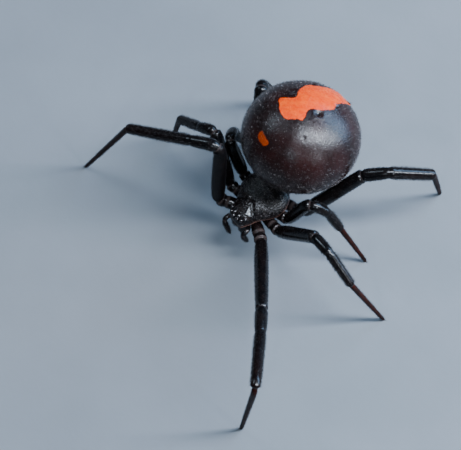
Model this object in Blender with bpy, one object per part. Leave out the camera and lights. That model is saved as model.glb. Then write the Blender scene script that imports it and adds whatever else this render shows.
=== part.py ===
"""A redback spider, a grown female, standing on a level floor with its abdomen held high.

The spider faces -Y, its left side is +X and up is +Z. Sizes below are in millimetres and angles in
degrees; the meshes are made in metres. A leg is laid out as one bent centreline from the sternum to the
claw, and each of its segments is a tube along its own stretch of that line, so that two segments
meet face to face at every joint.
"""
import math
from collections import namedtuple

import bmesh
import bpy
from mathutils import Matrix, Vector

MM = 0.001
GAP = 0.12

# Cephalothorax, in the head's own frame: origin at the middle of the carapace rim
BODY_HEIGHT = 3.7
HEAD_PITCH = 9.8
CARAPACE_LENGTH = 4.0
CARAPACE_WIDTH = 3.4
CARAPACE_LIP = 0.13
CARAPACE_WIDTH_CURVE = (0.36, 0.50, 0.60, 0.79, 0.96, 1.0, 0.93, 0.72, 0.30)
CARAPACE_HEIGHT_CURVE = (0.42, 0.80, 0.98, 1.02, 0.93, 0.84, 0.76, 0.56, 0.22)
STERNUM_LENGTH = 2.7
STERNUM_WIDTH = 1.36
STERNUM_TOP = -0.16
STERNUM_DEPTH = 0.92
STERNUM_WIDTH_CURVE = (0.52, 0.86, 1.0, 0.98, 0.84, 0.58, 0.24)

# Eyes: x and height on the face, for one side; both rows bow back at their ends
EYE_RADIUS = 0.105
EYE_BULGE = 0.075
EYE_STANDOFF = 0.02
EYES = (
    ("front_inner", 0.16, 0.50),
    ("front_outer", 0.46, 0.46),
    ("rear_inner", 0.20, 0.66),
    ("rear_outer", 0.60, 0.54),
)

# Jaws
JAW_LENGTH = 1.05
JAW_RADIUS = 0.27
JAW_ROOT = (0.31, -1.72, -0.02)
JAW_LEAN = 12.0
FANG_LENGTH = 0.5
FANG_RADIUS = 0.13

# Palps: joints of each in the head's frame, from the root beside the jaw to the tip
PALP_RADIUS = 0.17
PALP_LEFT = ((0.56, -1.50, -0.62), (1.02, -1.88, -0.14), (0.91, -2.30, -0.32), (1.22, -2.22, -0.99))
PALP_RIGHT = ((-0.56, -1.50, -0.62), (-0.63, -2.12, -0.13), (-0.65, -2.46, -0.25), (0.01, -2.68, -1.00))

# Abdomen
ABDOMEN_LENGTH = 7.6
ABDOMEN_WIDTH = 7.5
ABDOMEN_DEPTH = 6.4
ABDOMEN_BEHIND = 3.66
ABDOMEN_RISE = 3.9
ABDOMEN_PITCH = 15.5
PEDICEL_RADIUS = 0.3
SPINNERET_ANGLE = 52.0
SPINNERET_LENGTH = 0.62
SPINNERET_RADIUS = 0.17

# Legs. Lengths of the segments in each pair of legs, and their greatest radii
Lengths = namedtuple("Lengths", "femur patella tibia metatarsus tarsus")
Radii = namedtuple("Radii", "coxa femur patella tibia metatarsus tarsus")
LENGTHS = {
    1: Lengths(6.8, 2.0, 4.8, 6.5, 2.3),
    2: Lengths(4.7, 1.5, 2.5, 4.15, 1.55),
    3: Lengths(3.15, 1.5, 1.75, 2.9, 1.2),
    4: Lengths(5.2, 1.7, 3.2, 4.4, 1.5),
}
RADII = {
    1: Radii(0.42, 0.45, 0.40, 0.35, 0.25, 0.19),
    2: Radii(0.38, 0.43, 0.36, 0.30, 0.25, 0.19),
    3: Radii(0.38, 0.40, 0.34, 0.29, 0.25, 0.18),
    4: Radii(0.38, 0.46, 0.41, 0.385, 0.25, 0.19),
}

# Roots of the coxae in the head's frame, on the left side; the right side mirrors them
COXA_ROOT = {1: (0.80, -1.08, -0.60), 2: (0.88, -0.38, -0.60), 3: (0.84, 0.30, -0.62), 4: (0.62, 0.98, -0.58)}

# Each leg's stance: end of the trochanter in the head's frame, which the right side mirrors, then azimuth
# from straight ahead towards the left and elevation of femur, patella and tibia, and the azimuth in which
# metatarsus and tarsus run down to the floor
Stance = namedtuple("Stance", "side pair hip femur patella tibia foot")
STANCES = (
    Stance("left", 1, (2.14, -1.67, -0.20), (52.5, 26.3), (49.7, 20.3), (47.9, 20.6), -79),
    Stance("right", 1, (2.02, -1.82, -0.20), (150, 84.5), (-60, -11.5), (-63.5, -20), -63),
    Stance("left", 2, (2.34, -0.42, -0.32), (98.9, 46.5), (86.2, 8), (91.9, -37.9), 143.8),
    Stance("right", 2, (2.32, -0.62, -0.35), (-106.3, 70.7), (-76.1, -33.4), (-84.5, -37), -104),
    Stance("left", 3, (2.19, 0.50, -0.19), (128.5, 61.1), (130.9, -41.4), (116.8, -63.7), 121.7),
    Stance("right", 3, (2.30, 0.50, -0.35), (-86, 71), (-140, -38), (-150, -77), -150),
    Stance("left", 4, (2.30, 1.57, -0.68), (151, 41), (136.5, 17), (152.5, -28.5), -143.5),
    Stance("right", 4, (2.25, 1.58, -0.66), (-137, 46), (-132, -64), (-135, -66), 144),
)
SIDE_SIGN = {"left": 1.0, "right": -1.0}
SEGMENTS = ("coxa", "femur", "patella", "tibia", "foot")
BEND_REACH = 1.15
SHORTEST_REACH = 0.3
LEG_SIDES = 10
FOOT_FLAT_RADIUS = 0.15

# How a segment's radius runs from its near end to its far end, as pairs of place and share
SHAPES = {
    "coxa": ((0.0, 0.72), (0.3, 0.95), (0.58, 1.0), (0.66, 0.84), (0.75, 0.92), (1.0, 0.76)),
    "femur": ((0.0, 0.68), (0.08, 0.84), (0.3, 1.0), (0.65, 0.96), (0.92, 0.86), (1.0, 0.74)),
    "patella": ((0.0, 0.80), (0.2, 1.0), (0.7, 0.97), (1.0, 0.80)),
    "tibia": ((0.0, 0.90), (0.1, 1.0), (0.5, 0.96), (0.9, 0.88), (1.0, 0.76)),
    "metatarsus": ((0.0, 0.96), (0.08, 1.0), (0.5, 0.9), (1.0, 0.78)),
    "tarsus": ((0.0, 1.0), (0.5, 0.86), (0.85, 0.72)),
}

COLOURS = {
    "shell": ((0.012, 0.009, 0.009, 1.0), 0.28),
    "carapace": ((0.018, 0.013, 0.012, 1.0), 0.42),
    "abdomen": ((0.030, 0.012, 0.011, 1.0), 0.34),
    "brown": ((0.060, 0.022, 0.012, 1.0), 0.36),
    "eye": ((0.010, 0.008, 0.010, 1.0), 0.08),
    "fang": ((0.050, 0.012, 0.008, 1.0), 0.22),
}


def clear_scene():
    """Removes every object of the open scene."""
    for item in list(bpy.data.objects):
        bpy.data.objects.remove(item, do_unlink=True)


def make_material(name):
    """A plain glossy material in one of the spider's colours."""
    colour, roughness = COLOURS[name]
    material = bpy.data.materials.new(name)
    material.use_nodes = True
    shader = material.node_tree.nodes["Principled BSDF"]
    shader.inputs["Base Color"].default_value = colour
    shader.inputs["Roughness"].default_value = roughness
    shader.inputs["Metallic"].default_value = 0.0
    return material


def catmull(values, place):
    """Smooth curve through evenly spaced values, read at a place from 0 to 1."""
    last = len(values) - 1
    spot = min(max(place, 0.0), 1.0) * last
    index = min(int(spot), last - 1)
    t = spot - index
    p1, p2 = values[index], values[index + 1]
    p0 = values[index - 1] if index > 0 else 2 * p1 - p2
    p3 = values[index + 2] if index + 2 <= last else 2 * p2 - p1
    return 0.5 * (2 * p1 + (p2 - p0) * t + (2 * p0 - 5 * p1 + 4 * p2 - p3) * t**2
                  + (3 * p1 - p0 - 3 * p2 + p3) * t**3)


def linear(pairs, place):
    """Straight runs through pairs of place and value."""
    for (low, start), (high, end) in zip(pairs, pairs[1:]):
        if place <= high:
            return start + (end - start) * (place - low) / (high - low)
    return pairs[-1][1]


def direction(azimuth, elevation):
    """Unit vector: azimuth from straight ahead towards the spider's left, elevation above the level."""
    a, e = math.radians(azimuth), math.radians(elevation)
    return Vector((math.sin(a) * math.cos(e), -math.cos(a) * math.cos(e), math.sin(e)))


HEAD_FRAME = Matrix.Translation((0.0, 0.0, BODY_HEIGHT)) @ Matrix.Rotation(math.radians(HEAD_PITCH), 4, "X")
ABDOMEN_CENTRE = Vector((0.0, ABDOMEN_BEHIND, BODY_HEIGHT + ABDOMEN_RISE))
ABDOMEN_FRAME = Matrix.Translation(ABDOMEN_CENTRE) @ Matrix.Rotation(math.radians(-ABDOMEN_PITCH), 4, "X")


def head_point(point, side=1.0):
    """A point of the head's frame in the world, mirrored for the right side."""
    return HEAD_FRAME @ Vector((point[0] * side, point[1], point[2]))


def skin_rings(name, rings, material, root):
    """Closed surface over rings of points of equal count, each end closed by a flat or a single point."""
    mesh = bmesh.new()
    rows = [[mesh.verts.new(point * MM) for point in ring] for ring in rings]
    for near, far in zip(rows, rows[1:]):
        join_rows(mesh, near, far)
    for row, turned in ((rows[0], True), (rows[-1], False)):
        if len(row) > 1:
            mesh.faces.new(tuple(reversed(row)) if turned else tuple(row))
    bmesh.ops.recalc_face_normals(mesh, faces=mesh.faces)
    data = bpy.data.meshes.new(name)
    mesh.to_mesh(data)
    mesh.free()
    return add_object(name, data, material, root)


def join_rows(mesh, near, far):
    """Faces between two rows, where a row of one point is the tip of a fan."""
    count = max(len(near), len(far))
    for i in range(count):
        j = (i + 1) % count
        if len(near) == 1:
            mesh.faces.new((near[0], far[j], far[i]))
        elif len(far) == 1:
            mesh.faces.new((near[i], near[j], far[0]))
        else:
            mesh.faces.new((near[i], near[j], far[j], far[i]))


def add_object(name, data, material, root):
    """Links a mesh as an object, shaded smooth apart from its sharp rims, under the root empty."""
    data.shade_smooth()
    data.set_sharp_from_angle(angle=math.radians(50))
    data.materials.append(material)
    item = bpy.data.objects.new(name, data)
    bpy.context.scene.collection.objects.link(item)
    item.parent = root
    return item


def circle(centre, across, up, radius, sides):
    """Ring of points round a centre, in the plane of two unit vectors."""
    turns = [2 * math.pi * i / sides for i in range(sides)]
    return [centre + (across * math.cos(t) + up * math.sin(t)) * radius for t in turns]


def tube(name, stations, material, root, sides=LEG_SIDES, level_end=False):
    """Tube over stations of centre, tangent and radius; its last ring may lie level, as a foot's sole."""
    rings = []
    across = None
    for index, (centre, tangent, radius) in enumerate(stations):
        if level_end and index == len(stations) - 1:
            tangent = Vector((0.0, 0.0, -1.0))
        if across is None:
            across = tangent.cross(Vector((0.0, 0.0, 1.0)))
            if across.length < 0.2:
                across = tangent.cross(Vector((1.0, 0.0, 0.0)))
        across = (across - tangent * across.dot(tangent)).normalized()
        rings.append(circle(centre, across, tangent.cross(across), radius, sides))
    return skin_rings(name, rings, material, root)


def corner(points, index, radius):
    """Curved bend at a joint: its start, middle control and end, wide enough for the tube."""
    here = points[index]
    back, ahead = points[index - 1] - here, points[index + 1] - here
    turn = math.pi - back.angle(ahead)
    need = radius * BEND_REACH * math.sin(turn / 2) / math.cos(turn / 2) ** 2
    reach = min(max(need, SHORTEST_REACH), 0.47 * back.length, 0.47 * ahead.length)
    return here + back.normalized() * reach, here, here + ahead.normalized() * reach


def on_corner(bend, t):
    """Point and tangent of a corner's curve."""
    a, b, c = bend
    point = a * (1 - t) ** 2 + b * 2 * t * (1 - t) + c * t**2
    tangent = ((b - a) * (1 - t) + (c - b) * t).normalized()
    return point, tangent


def stretch(points, index, bends, shape, radius, places):
    """Stations of one segment of a bent line, from the middle of one joint to the middle of the next."""
    near, far = bends.get(index), bends.get(index + 1)
    start = near[2] if near else points[index]
    end = far[0] if far else points[index + 1]
    run = (end - start).normalized()
    line = []
    if near:
        line += [on_corner(near, t) for t in (0.5, 0.75)]
    line += [(start.lerp(end, place), run) for place in places]
    if far:
        line += [on_corner(far, t) for t in (0.25, 0.5)]
    lengths = [0.0]
    for (here, _), (there, _) in zip(line, line[1:]):
        lengths.append(lengths[-1] + (there - here).length)
    total = lengths[-1]
    return [(point, tangent, radius * linear(shape, length / total))
            for (point, tangent), length in zip(line, lengths)]


def trim(stations, near=GAP / 2, far=GAP / 2):
    """Draws the first and last stations in along the line, to leave a gap to the neighbours."""
    first, last = stations[0], stations[-1]
    stations[0] = (first[0] + first[1] * near, first[1], first[2])
    stations[-1] = (last[0] - last[1] * far, last[1], last[2])
    return stations


def leg_points(stance):
    """Joints of a leg in the world, from the coxa's root to the toe on the floor."""
    side = SIDE_SIGN[stance.side]
    lengths = LENGTHS[stance.pair]
    points = [head_point(COXA_ROOT[stance.pair], side), head_point(stance.hip, side)]
    for name in ("femur", "patella", "tibia"):
        points.append(points[-1] + direction(*getattr(stance, name)) * getattr(lengths, name))
    reach = lengths.metatarsus + lengths.tarsus
    fall = -math.degrees(math.asin(min(points[-1].z / reach, 0.995)))
    down = direction(stance.foot, fall)
    points.append(points[-1] + down * lengths.metatarsus)
    toe = points[-1] + down * (points[-1].z / -down.z)
    points.append(toe)
    return points


def build_leg(stance, materials, root):
    """The five nodes of one leg."""
    radii = RADII[stance.pair]
    points = leg_points(stance)
    joint_radius = {1: radii.coxa * 0.8, 2: radii.femur * 0.8, 3: radii.patella * 0.8, 4: radii.tibia * 0.8}
    bends = {index: corner(points, index, joint_radius[index]) for index in joint_radius}
    places = {
        "coxa": (0.1, 0.45, 0.62, 0.7, 0.9),
        "femur": (0.0, 0.15, 0.4, 0.7, 1.0),
        "patella": (0.0, 0.5, 1.0),
        "tibia": (0.0, 0.3, 0.65, 1.0),
        "metatarsus": (0.0, 0.3, 0.65, 0.98),
        "tarsus": (0.02, 0.4, 0.75),
    }
    prefix = f"leg_{stance.side}_{stance.pair}"
    coxa = [(points[0], (points[1] - points[0]).normalized(), radii.coxa * SHAPES["coxa"][0][1])]
    coxa += stretch(points, 0, bends, SHAPES["coxa"], radii.coxa, places["coxa"])
    tube(f"{prefix}_coxa", trim(coxa, near=0.0), materials["shell"], root)
    for index, name in ((1, "femur"), (2, "patella"), (3, "tibia")):
        line = stretch(points, index, bends, SHAPES[name], getattr(radii, name), places[name])
        tube(f"{prefix}_{name}", trim(line), materials["shell"], root)
    line = stretch(points, 4, bends, SHAPES["metatarsus"], radii.metatarsus, places["metatarsus"])
    line += stretch(points, 5, bends, SHAPES["tarsus"], radii.tarsus, places["tarsus"])
    line = trim(line, far=0.0)
    line.append((points[6], line[-1][1], FOOT_FLAT_RADIUS))
    tube(f"{prefix}_foot", line, materials["brown"], root, level_end=True)


def carapace_ring(place, columns=20):
    """Ring of the carapace at a place from front to rear: a dome above and a thin lip below."""
    half = CARAPACE_WIDTH / 2 * catmull(CARAPACE_WIDTH_CURVE, place)
    height = catmull(CARAPACE_HEIGHT_CURVE, place)
    y = CARAPACE_LENGTH * (place - 0.5)
    ring = []
    for i in range(columns):
        turn = 2 * math.pi * i / columns
        across, up = math.cos(turn), math.sin(turn)
        z = height * up if up >= 0 else CARAPACE_LIP * -abs(up) ** 0.5
        ring.append(HEAD_FRAME @ Vector((half * across, y, z)))
    return ring


def build_carapace(materials, root):
    """Domed shield over the cephalothorax."""
    steps = 14
    rings = [carapace_ring(i / steps) for i in range(steps + 1)]
    return skin_rings("carapace", rings, materials["carapace"], root)


def build_sternum(materials, root):
    """Body under the carapace that carries the legs, with the sternum as its lower face."""
    steps, columns = 9, 16
    rings = []
    for i in range(steps + 1):
        place = i / steps
        half = STERNUM_WIDTH / 2 * catmull(STERNUM_WIDTH_CURVE, place)
        y = STERNUM_LENGTH * (place - 0.5)
        ring = []
        for k in range(columns):
            turn = 2 * math.pi * k / columns
            across, up = math.cos(turn), math.sin(turn)
            depth = STERNUM_DEPTH / 2
            squared = math.copysign(abs(up) ** 0.6, up)
            ring.append(HEAD_FRAME @ Vector((half * math.copysign(abs(across) ** 0.6, across), y,
                                             STERNUM_TOP - depth + depth * squared)))
        rings.append(ring)
    return skin_rings("sternum", rings, materials["shell"], root)


def carapace_face(x, z):
    """Y of the carapace's front surface at a given x and height, in the head's frame."""
    steps = 200
    for i in range(steps):
        place = 0.45 * i / steps
        half = CARAPACE_WIDTH / 2 * catmull(CARAPACE_WIDTH_CURVE, place)
        height = catmull(CARAPACE_HEIGHT_CURVE, place)
        if (x / half) ** 2 + (z / height) ** 2 <= 1.0:
            return CARAPACE_LENGTH * (place - 0.5)
    return 0.0


def face_normal(x, z, step=0.03):
    """Outward normal of the carapace's front surface, in the head's frame."""
    slope_x = (carapace_face(x + step, z) - carapace_face(x - step, z)) / (2 * step)
    slope_z = (carapace_face(x, z + step) - carapace_face(x, z - step)) / (2 * step)
    return Vector((slope_x, -1.0, slope_z)).normalized()


def build_eyes(materials, root):
    """Eight small domes, each standing just clear of the carapace."""
    for name, x, z in EYES:
        for side, sign in SIDE_SIGN.items():
            normal = face_normal(x, z)
            seat = Vector((x, carapace_face(x, z), z)) + normal * EYE_STANDOFF
            seat.x *= sign
            normal.x *= sign
            across = normal.cross(Vector((0.0, 0.0, 1.0))).normalized()
            up = normal.cross(across)
            turn = HEAD_FRAME.to_3x3()
            rings = []
            for lift, width in ((0.0, 1.0), (0.35, 0.93), (0.75, 0.62), (1.0, 0.0)):
                centre = HEAD_FRAME @ (seat + normal * EYE_BULGE * lift)
                if width:
                    rings.append(circle(centre, turn @ across, turn @ up, EYE_RADIUS * width, 10))
                else:
                    rings.append([centre])
            skin_rings(f"eye_{side}_{name}", rings, materials["eye"], root)


def build_jaws(materials, root):
    """The two chelicerae and their fangs."""
    lean = math.radians(JAW_LEAN)
    for side, sign in SIDE_SIGN.items():
        top = head_point(JAW_ROOT, sign) - HEAD_FRAME.to_3x3() @ Vector((0, 0, CARAPACE_LIP + GAP))
        down = HEAD_FRAME.to_3x3() @ Vector((0.0, -math.sin(lean), -math.cos(lean)))
        outline = ((0.0, 0.84), (0.25, 1.0), (0.6, 0.92), (0.88, 0.72), (1.0, 0.5))
        line = [(top + down * JAW_LENGTH * place, down, JAW_RADIUS * share) for place, share in outline]
        tube(f"jaw_{side}", line, materials["shell"], root)
        inward = HEAD_FRAME.to_3x3() @ Vector((-sign * 0.5, 0.75, -0.45)).normalized()
        start = top + down * (JAW_LENGTH + GAP / 2)
        bent = ((0.0, 1.0), (0.35, 0.8), (0.7, 0.5), (1.0, 0.22))
        line = []
        for place, share in bent:
            heading = down.lerp(inward, place).normalized()
            line.append((start + heading * FANG_LENGTH * place, heading, FANG_RADIUS * share))
        tube(f"fang_{side}", line, materials["fang"], root, sides=8)


def build_palps(materials, root):
    """The two palps, each a short bent feeler beside the jaws."""
    for side, joints in (("left", PALP_LEFT), ("right", PALP_RIGHT)):
        points = [head_point(joint) for joint in joints]
        bends = {index: corner(points, index, PALP_RADIUS) for index in (1, 2)}
        shapes = (((0.0, 0.8), (0.5, 1.0), (1.0, 0.9)), ((0.0, 0.9), (0.5, 1.0), (1.0, 0.95)),
                  ((0.0, 0.95), (0.4, 1.12), (0.8, 0.75), (1.0, 0.4)))
        line = []
        for index, shape in enumerate(shapes):
            places = (0.0, 0.5) if index == 0 else (0.0, 1.0) if index == 1 else (0.2, 0.6, 1.0)
            part = stretch(points, index, bends, shape, PALP_RADIUS, places)
            line += part if not line else part[1:]
        tube(f"palp_{side}", line, materials["shell"], root, sides=8)


def build_abdomen(materials, root):
    """Globe of the abdomen, a little longer than wide."""
    steps, columns = 24, 28
    rings = [[ABDOMEN_FRAME @ Vector((0.0, -ABDOMEN_LENGTH / 2, 0.0))]]
    for i in range(1, steps):
        turn = math.pi * i / steps
        y = -ABDOMEN_LENGTH / 2 * math.cos(turn)
        girth = math.sin(turn)
        ring = []
        for k in range(columns):
            around = 2 * math.pi * k / columns
            x = ABDOMEN_WIDTH / 2 * girth * math.cos(around)
            z = ABDOMEN_DEPTH / 2 * girth * math.sin(around)
            ring.append(ABDOMEN_FRAME @ Vector((x, y, z)))
        rings.append(ring)
    rings.append([ABDOMEN_FRAME @ Vector((0.0, ABDOMEN_LENGTH / 2, 0.0))])
    return skin_rings("abdomen", rings, materials["abdomen"], root)


def abdomen_surface(heading):
    """Point where a ray from the abdomen's middle leaves it."""
    local = ABDOMEN_FRAME.to_3x3().transposed() @ heading
    scaled = Vector((local.x / ABDOMEN_WIDTH, local.y / ABDOMEN_LENGTH, local.z / ABDOMEN_DEPTH)) * 2
    return ABDOMEN_CENTRE + heading / scaled.length


def build_pedicel(materials, root):
    """Narrow waist between the cephalothorax and the abdomen."""
    start = head_point((0.0, CARAPACE_LENGTH / 2, 0.03))
    heading = (start - ABDOMEN_CENTRE).normalized()
    end = abdomen_surface(heading)
    run = (end - start).normalized()
    near, far = start + run * GAP, end - run * GAP
    line = [(near.lerp(far, t), run, PEDICEL_RADIUS * share) for t, share in ((0, 0.9), (0.5, 0.8), (1, 1.0))]
    return tube("pedicel", line, materials["shell"], root, sides=12)


def build_spinnerets(materials, root):
    """Three pairs of short spinning cones on a low round base, joined into one body."""
    heading = direction(180.0, -SPINNERET_ANGLE)
    seat = abdomen_surface(heading) + heading * GAP
    across = Vector((1.0, 0.0, 0.0))
    up = heading.cross(across)
    base_line = ((0.0, 0.52), (0.10, 0.50), (0.18, 0.40))
    base = tube("spinnerets", [(seat + heading * lift, heading, radius) for lift, radius in base_line],
                materials["shell"], root, sides=16)
    cones = bpy.data.collections.new("spinneret_cones")
    bpy.context.scene.collection.children.link(cones)
    for row, (lift, spread, size) in enumerate(((0.24, 0.17, 1.0), (0.0, 0.13, 0.7), (-0.24, 0.17, 0.9))):
        for sign in (-1.0, 1.0):
            foot = seat + across * sign * spread + up * lift + heading * 0.06
            aim = (heading * 3 + across * sign * 0.35 + up * lift * 1.5).normalized()
            cone_line = [(foot + aim * SPINNERET_LENGTH * size * t, aim, SPINNERET_RADIUS * size * share)
                         for t, share in ((0.0, 0.95), (0.6, 0.8), (1.0, 0.4))]
            cone = tube(f"cone_{row}_{sign}", cone_line, materials["shell"], root, sides=8)
            bpy.context.scene.collection.objects.unlink(cone)
            cones.objects.link(cone)
    union = base.modifiers.new("union", "BOOLEAN")
    union.operation = "UNION"
    union.operand_type = "COLLECTION"
    union.collection = cones
    union.solver = "EXACT"
    graph = bpy.context.evaluated_depsgraph_get()
    joined = bpy.data.meshes.new_from_object(base.evaluated_get(graph))
    base.modifiers.clear()
    base.data = joined
    for cone in list(cones.objects):
        bpy.data.objects.remove(cone, do_unlink=True)
    bpy.data.collections.remove(cones)
    keep_largest(base)


def keep_largest(item):
    """Keeps only the largest closed surface of an object's mesh."""
    mesh = bmesh.new()
    mesh.from_mesh(item.data)
    left = set(mesh.faces)
    groups = []
    while left:
        group, queue = set(), [next(iter(left))]
        while queue:
            face = queue.pop()
            if face in left:
                left.discard(face)
                group.add(face)
                queue += [other for edge in face.edges for other in edge.link_faces if other in left]
        groups.append(group)
    largest = max(groups, key=lambda faces: sum(face.calc_area() for face in faces))
    spare = [face for group in groups if group is not largest for face in group]
    bmesh.ops.delete(mesh, geom=spare, context="FACES")
    mesh.to_mesh(item.data)
    mesh.free()


def centre_on_floor(root):
    """Moves the root so that the whole spider is centred over the origin and stands at height zero."""
    bpy.context.view_layer.update()
    corners = [item.matrix_world @ vertex.co for item in root.children for vertex in item.data.vertices]
    middle_x = (min(point.x for point in corners) + max(point.x for point in corners)) / 2
    middle_y = (min(point.y for point in corners) + max(point.y for point in corners)) / 2
    root.location = (-middle_x, -middle_y, -min(point.z for point in corners))
    bpy.context.view_layer.update()


def main():
    """Builds the spider."""
    clear_scene()
    materials = {name: make_material(name) for name in COLOURS}
    root = bpy.data.objects.new("spider", None)
    bpy.context.scene.collection.objects.link(root)
    build_carapace(materials, root)
    build_sternum(materials, root)
    build_eyes(materials, root)
    build_jaws(materials, root)
    build_palps(materials, root)
    build_pedicel(materials, root)
    build_abdomen(materials, root)
    build_spinnerets(materials, root)
    for stance in STANCES:
        build_leg(stance, materials, root)
    centre_on_floor(root)


main()
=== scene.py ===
"""Looks of a redback spider, a grown female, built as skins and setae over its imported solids.

Sizes are in millimetres and angles in degrees, laid out as the solids are: the spider faces -Y, its left
side is +X, and the floor is at height zero. ``to_frame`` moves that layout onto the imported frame.
"""

import logging
import math
from collections.abc import Sequence
from dataclasses import dataclass, field, replace
from enum import Enum

import bpy
import numpy as np
from mathutils import Matrix, Vector


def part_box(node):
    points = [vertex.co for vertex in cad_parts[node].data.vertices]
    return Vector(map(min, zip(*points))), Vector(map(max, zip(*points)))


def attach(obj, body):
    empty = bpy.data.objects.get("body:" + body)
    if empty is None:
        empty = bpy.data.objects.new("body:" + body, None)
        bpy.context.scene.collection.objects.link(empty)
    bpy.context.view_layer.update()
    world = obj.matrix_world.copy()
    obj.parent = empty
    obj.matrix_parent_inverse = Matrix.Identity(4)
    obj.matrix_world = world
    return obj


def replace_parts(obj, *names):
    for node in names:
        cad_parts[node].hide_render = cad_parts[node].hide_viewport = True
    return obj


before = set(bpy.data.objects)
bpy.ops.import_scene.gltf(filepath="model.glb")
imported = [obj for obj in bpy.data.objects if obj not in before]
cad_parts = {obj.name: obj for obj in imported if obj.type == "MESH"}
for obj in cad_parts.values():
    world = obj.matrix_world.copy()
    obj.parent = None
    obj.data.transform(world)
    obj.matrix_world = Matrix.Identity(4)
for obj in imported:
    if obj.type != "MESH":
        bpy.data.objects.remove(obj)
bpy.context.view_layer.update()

LOG = logging.getLogger("spider")
Array = np.ndarray
Pairs = tuple[tuple[float, float], ...]
Colour = tuple[float, float, float]
Socket = bpy.types.NodeSocket
MM = 0.001
TINY = 1e-12
UP = (0.0, 0.0, 1.0)
ASIDE = (1.0, 0.0, 0.0)
LEAST_SIDE = 0.2
BODY = "root"


class Side(Enum):
    """Left or right of the spider, with the sign of its x."""

    LEFT = 1.0
    RIGHT = -1.0

    @property
    def word(self) -> str:
        """The side's name as the solids spell it."""
        return self.name.lower()

    @property
    def mirror(self) -> Array:
        """Factors that carry a point of the left side to this one."""
        return np.array([self.value, 1.0, 1.0])


class Slot(Enum):
    """Material slots of the record, one passed with each piece."""

    SHELL = "shell"
    CARAPACE = "carapace"
    ABDOMEN = "abdomen"
    BROWN = "brown"
    EYE = "eye"
    FANG = "fang"


def unit(vectors: Array) -> Array:
    """Vectors scaled to length one, along the last axis."""
    return vectors / np.maximum(np.linalg.norm(vectors, axis=-1, keepdims=True), TINY)


def ease(low: float, high: float, values: Array) -> Array:
    """Smooth step of values from zero at low to one at high."""
    t = np.clip((values - low) / (high - low), 0.0, 1.0)
    return t * t * (3.0 - 2.0 * t)


def bump(distance: Array, width: float) -> Array:
    """Bell of height one at distance zero that has nearly gone at twice the width."""
    return np.exp(-((distance / width) ** 2))


def curve(values: Sequence[float], place: Array) -> Array:
    """Smooth curve through evenly spaced values.

    Args:
        values: The values, from place 0 to place 1.
        place: Where to read the curve.

    Returns:
        The curve's values, of the shape of place.
    """
    knots = np.asarray(values, float)
    last = len(knots) - 1
    spot = np.clip(place, 0.0, 1.0) * last
    index = np.minimum(spot.astype(int), last - 1)
    t = spot - index
    p1, p2 = knots[index], knots[index + 1]
    p0 = np.where(index > 0, knots[np.maximum(index - 1, 0)], 2 * p1 - p2)
    p3 = np.where(index + 2 <= last, knots[np.minimum(index + 2, last)], 2 * p2 - p1)
    return 0.5 * (2 * p1 + (p2 - p0) * t + (2 * p0 - 5 * p1 + 4 * p2 - p3) * t**2
                  + (3 * p1 - p0 - 3 * p2 + p3) * t**3)


def outline(pairs: Pairs, place: Array) -> Array:
    """Smooth curve through pairs of place and value that never swings past them.

    Args:
        pairs: Places in rising order, each with its value.
        place: Where to read the curve.

    Returns:
        The curve's values, of the shape of place.
    """
    x, y = np.array(pairs, float).T
    steps = np.diff(x)
    slopes = np.diff(y) / steps
    product = slopes[:-1] * slopes[1:]
    total = slopes[:-1] + slopes[1:]
    inner = np.where(product > 0, 2 * product / np.where(product > 0, total, 1.0), 0.0)
    tangents = np.concatenate([slopes[:1], inner, slopes[-1:]])
    spot = np.clip(place, x[0], x[-1])
    index = np.clip(np.searchsorted(x, spot, side="right") - 1, 0, len(steps) - 1)
    width = steps[index]
    t = (spot - x[index]) / width
    return ((1 + 2 * t) * (1 - t) ** 2 * y[index] + t * (1 - t) ** 2 * width * tangents[index]
            + t * t * (3 - 2 * t) * y[index + 1] + t * t * (t - 1) * width * tangents[index + 1])


def heading(azimuth: float, elevation: float) -> Array:
    """Unit vector: azimuth from straight ahead towards the spider's left, elevation above the level."""
    a, e = math.radians(azimuth), math.radians(elevation)
    return np.array([math.sin(a) * math.cos(e), -math.cos(a) * math.cos(e), math.sin(e)])


def square_to(tangent: Array) -> Array:
    """A vector across a direction, level unless the direction is nearly upright."""
    side = np.cross(tangent, UP)
    return side if np.linalg.norm(side) >= LEAST_SIDE else np.cross(tangent, ASIDE)


def distance_to_path(points: Array, path: Array) -> Array:
    """Distance from each point to a line of straight runs.

    Args:
        points: Points, of shape (N, 2).
        path: The line's corners, of shape (M, 2).

    Returns:
        The N distances.
    """
    best = np.full(len(points), np.inf)
    for start, end in zip(path, path[1:]):
        run = end - start
        t = np.clip(((points - start) @ run) / (run @ run), 0.0, 1.0)
        best = np.minimum(best, np.linalg.norm(points - start - t[:, None] * run, axis=1))
    return best


@dataclass(frozen=True)
class Seat:
    """A tilted frame of one part of the body."""

    origin: Array
    turn: Array

    @classmethod
    def pitched(cls, origin: tuple[float, float, float], pitch: float) -> "Seat":
        """A frame at a point, pitched about the x axis by an angle in degrees."""
        c, s = math.cos(math.radians(pitch)), math.sin(math.radians(pitch))
        return cls(np.array(origin), np.array([[1.0, 0.0, 0.0], [0.0, c, -s], [0.0, s, c]]))

    def place(self, points: Array) -> Array:
        """Points of this frame in the spider's layout."""
        return np.asarray(points, float) @ self.turn.T + self.origin

    def aim(self, vectors: Array) -> Array:
        """Directions of this frame in the spider's layout."""
        return np.asarray(vectors, float) @ self.turn.T


HEAD = Seat.pitched((0.0, 0.0, 3.7), 9.8)
GLOBE = Seat.pitched((0.0, 3.66, 7.6), -15.5)
SHIFT = np.array(sum(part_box("abdomen"), Vector())) / 2 - GLOBE.origin * MM


def to_frame(points: Array) -> Array:
    """Points of the spider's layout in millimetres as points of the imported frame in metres."""
    return np.asarray(points, float) * MM + SHIFT


def link(name: str, data: bpy.types.ID) -> bpy.types.Object:
    """New object in the scene that shows the data."""
    item = bpy.data.objects.new(name, data)
    bpy.context.scene.collection.objects.link(item)
    return item


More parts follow.
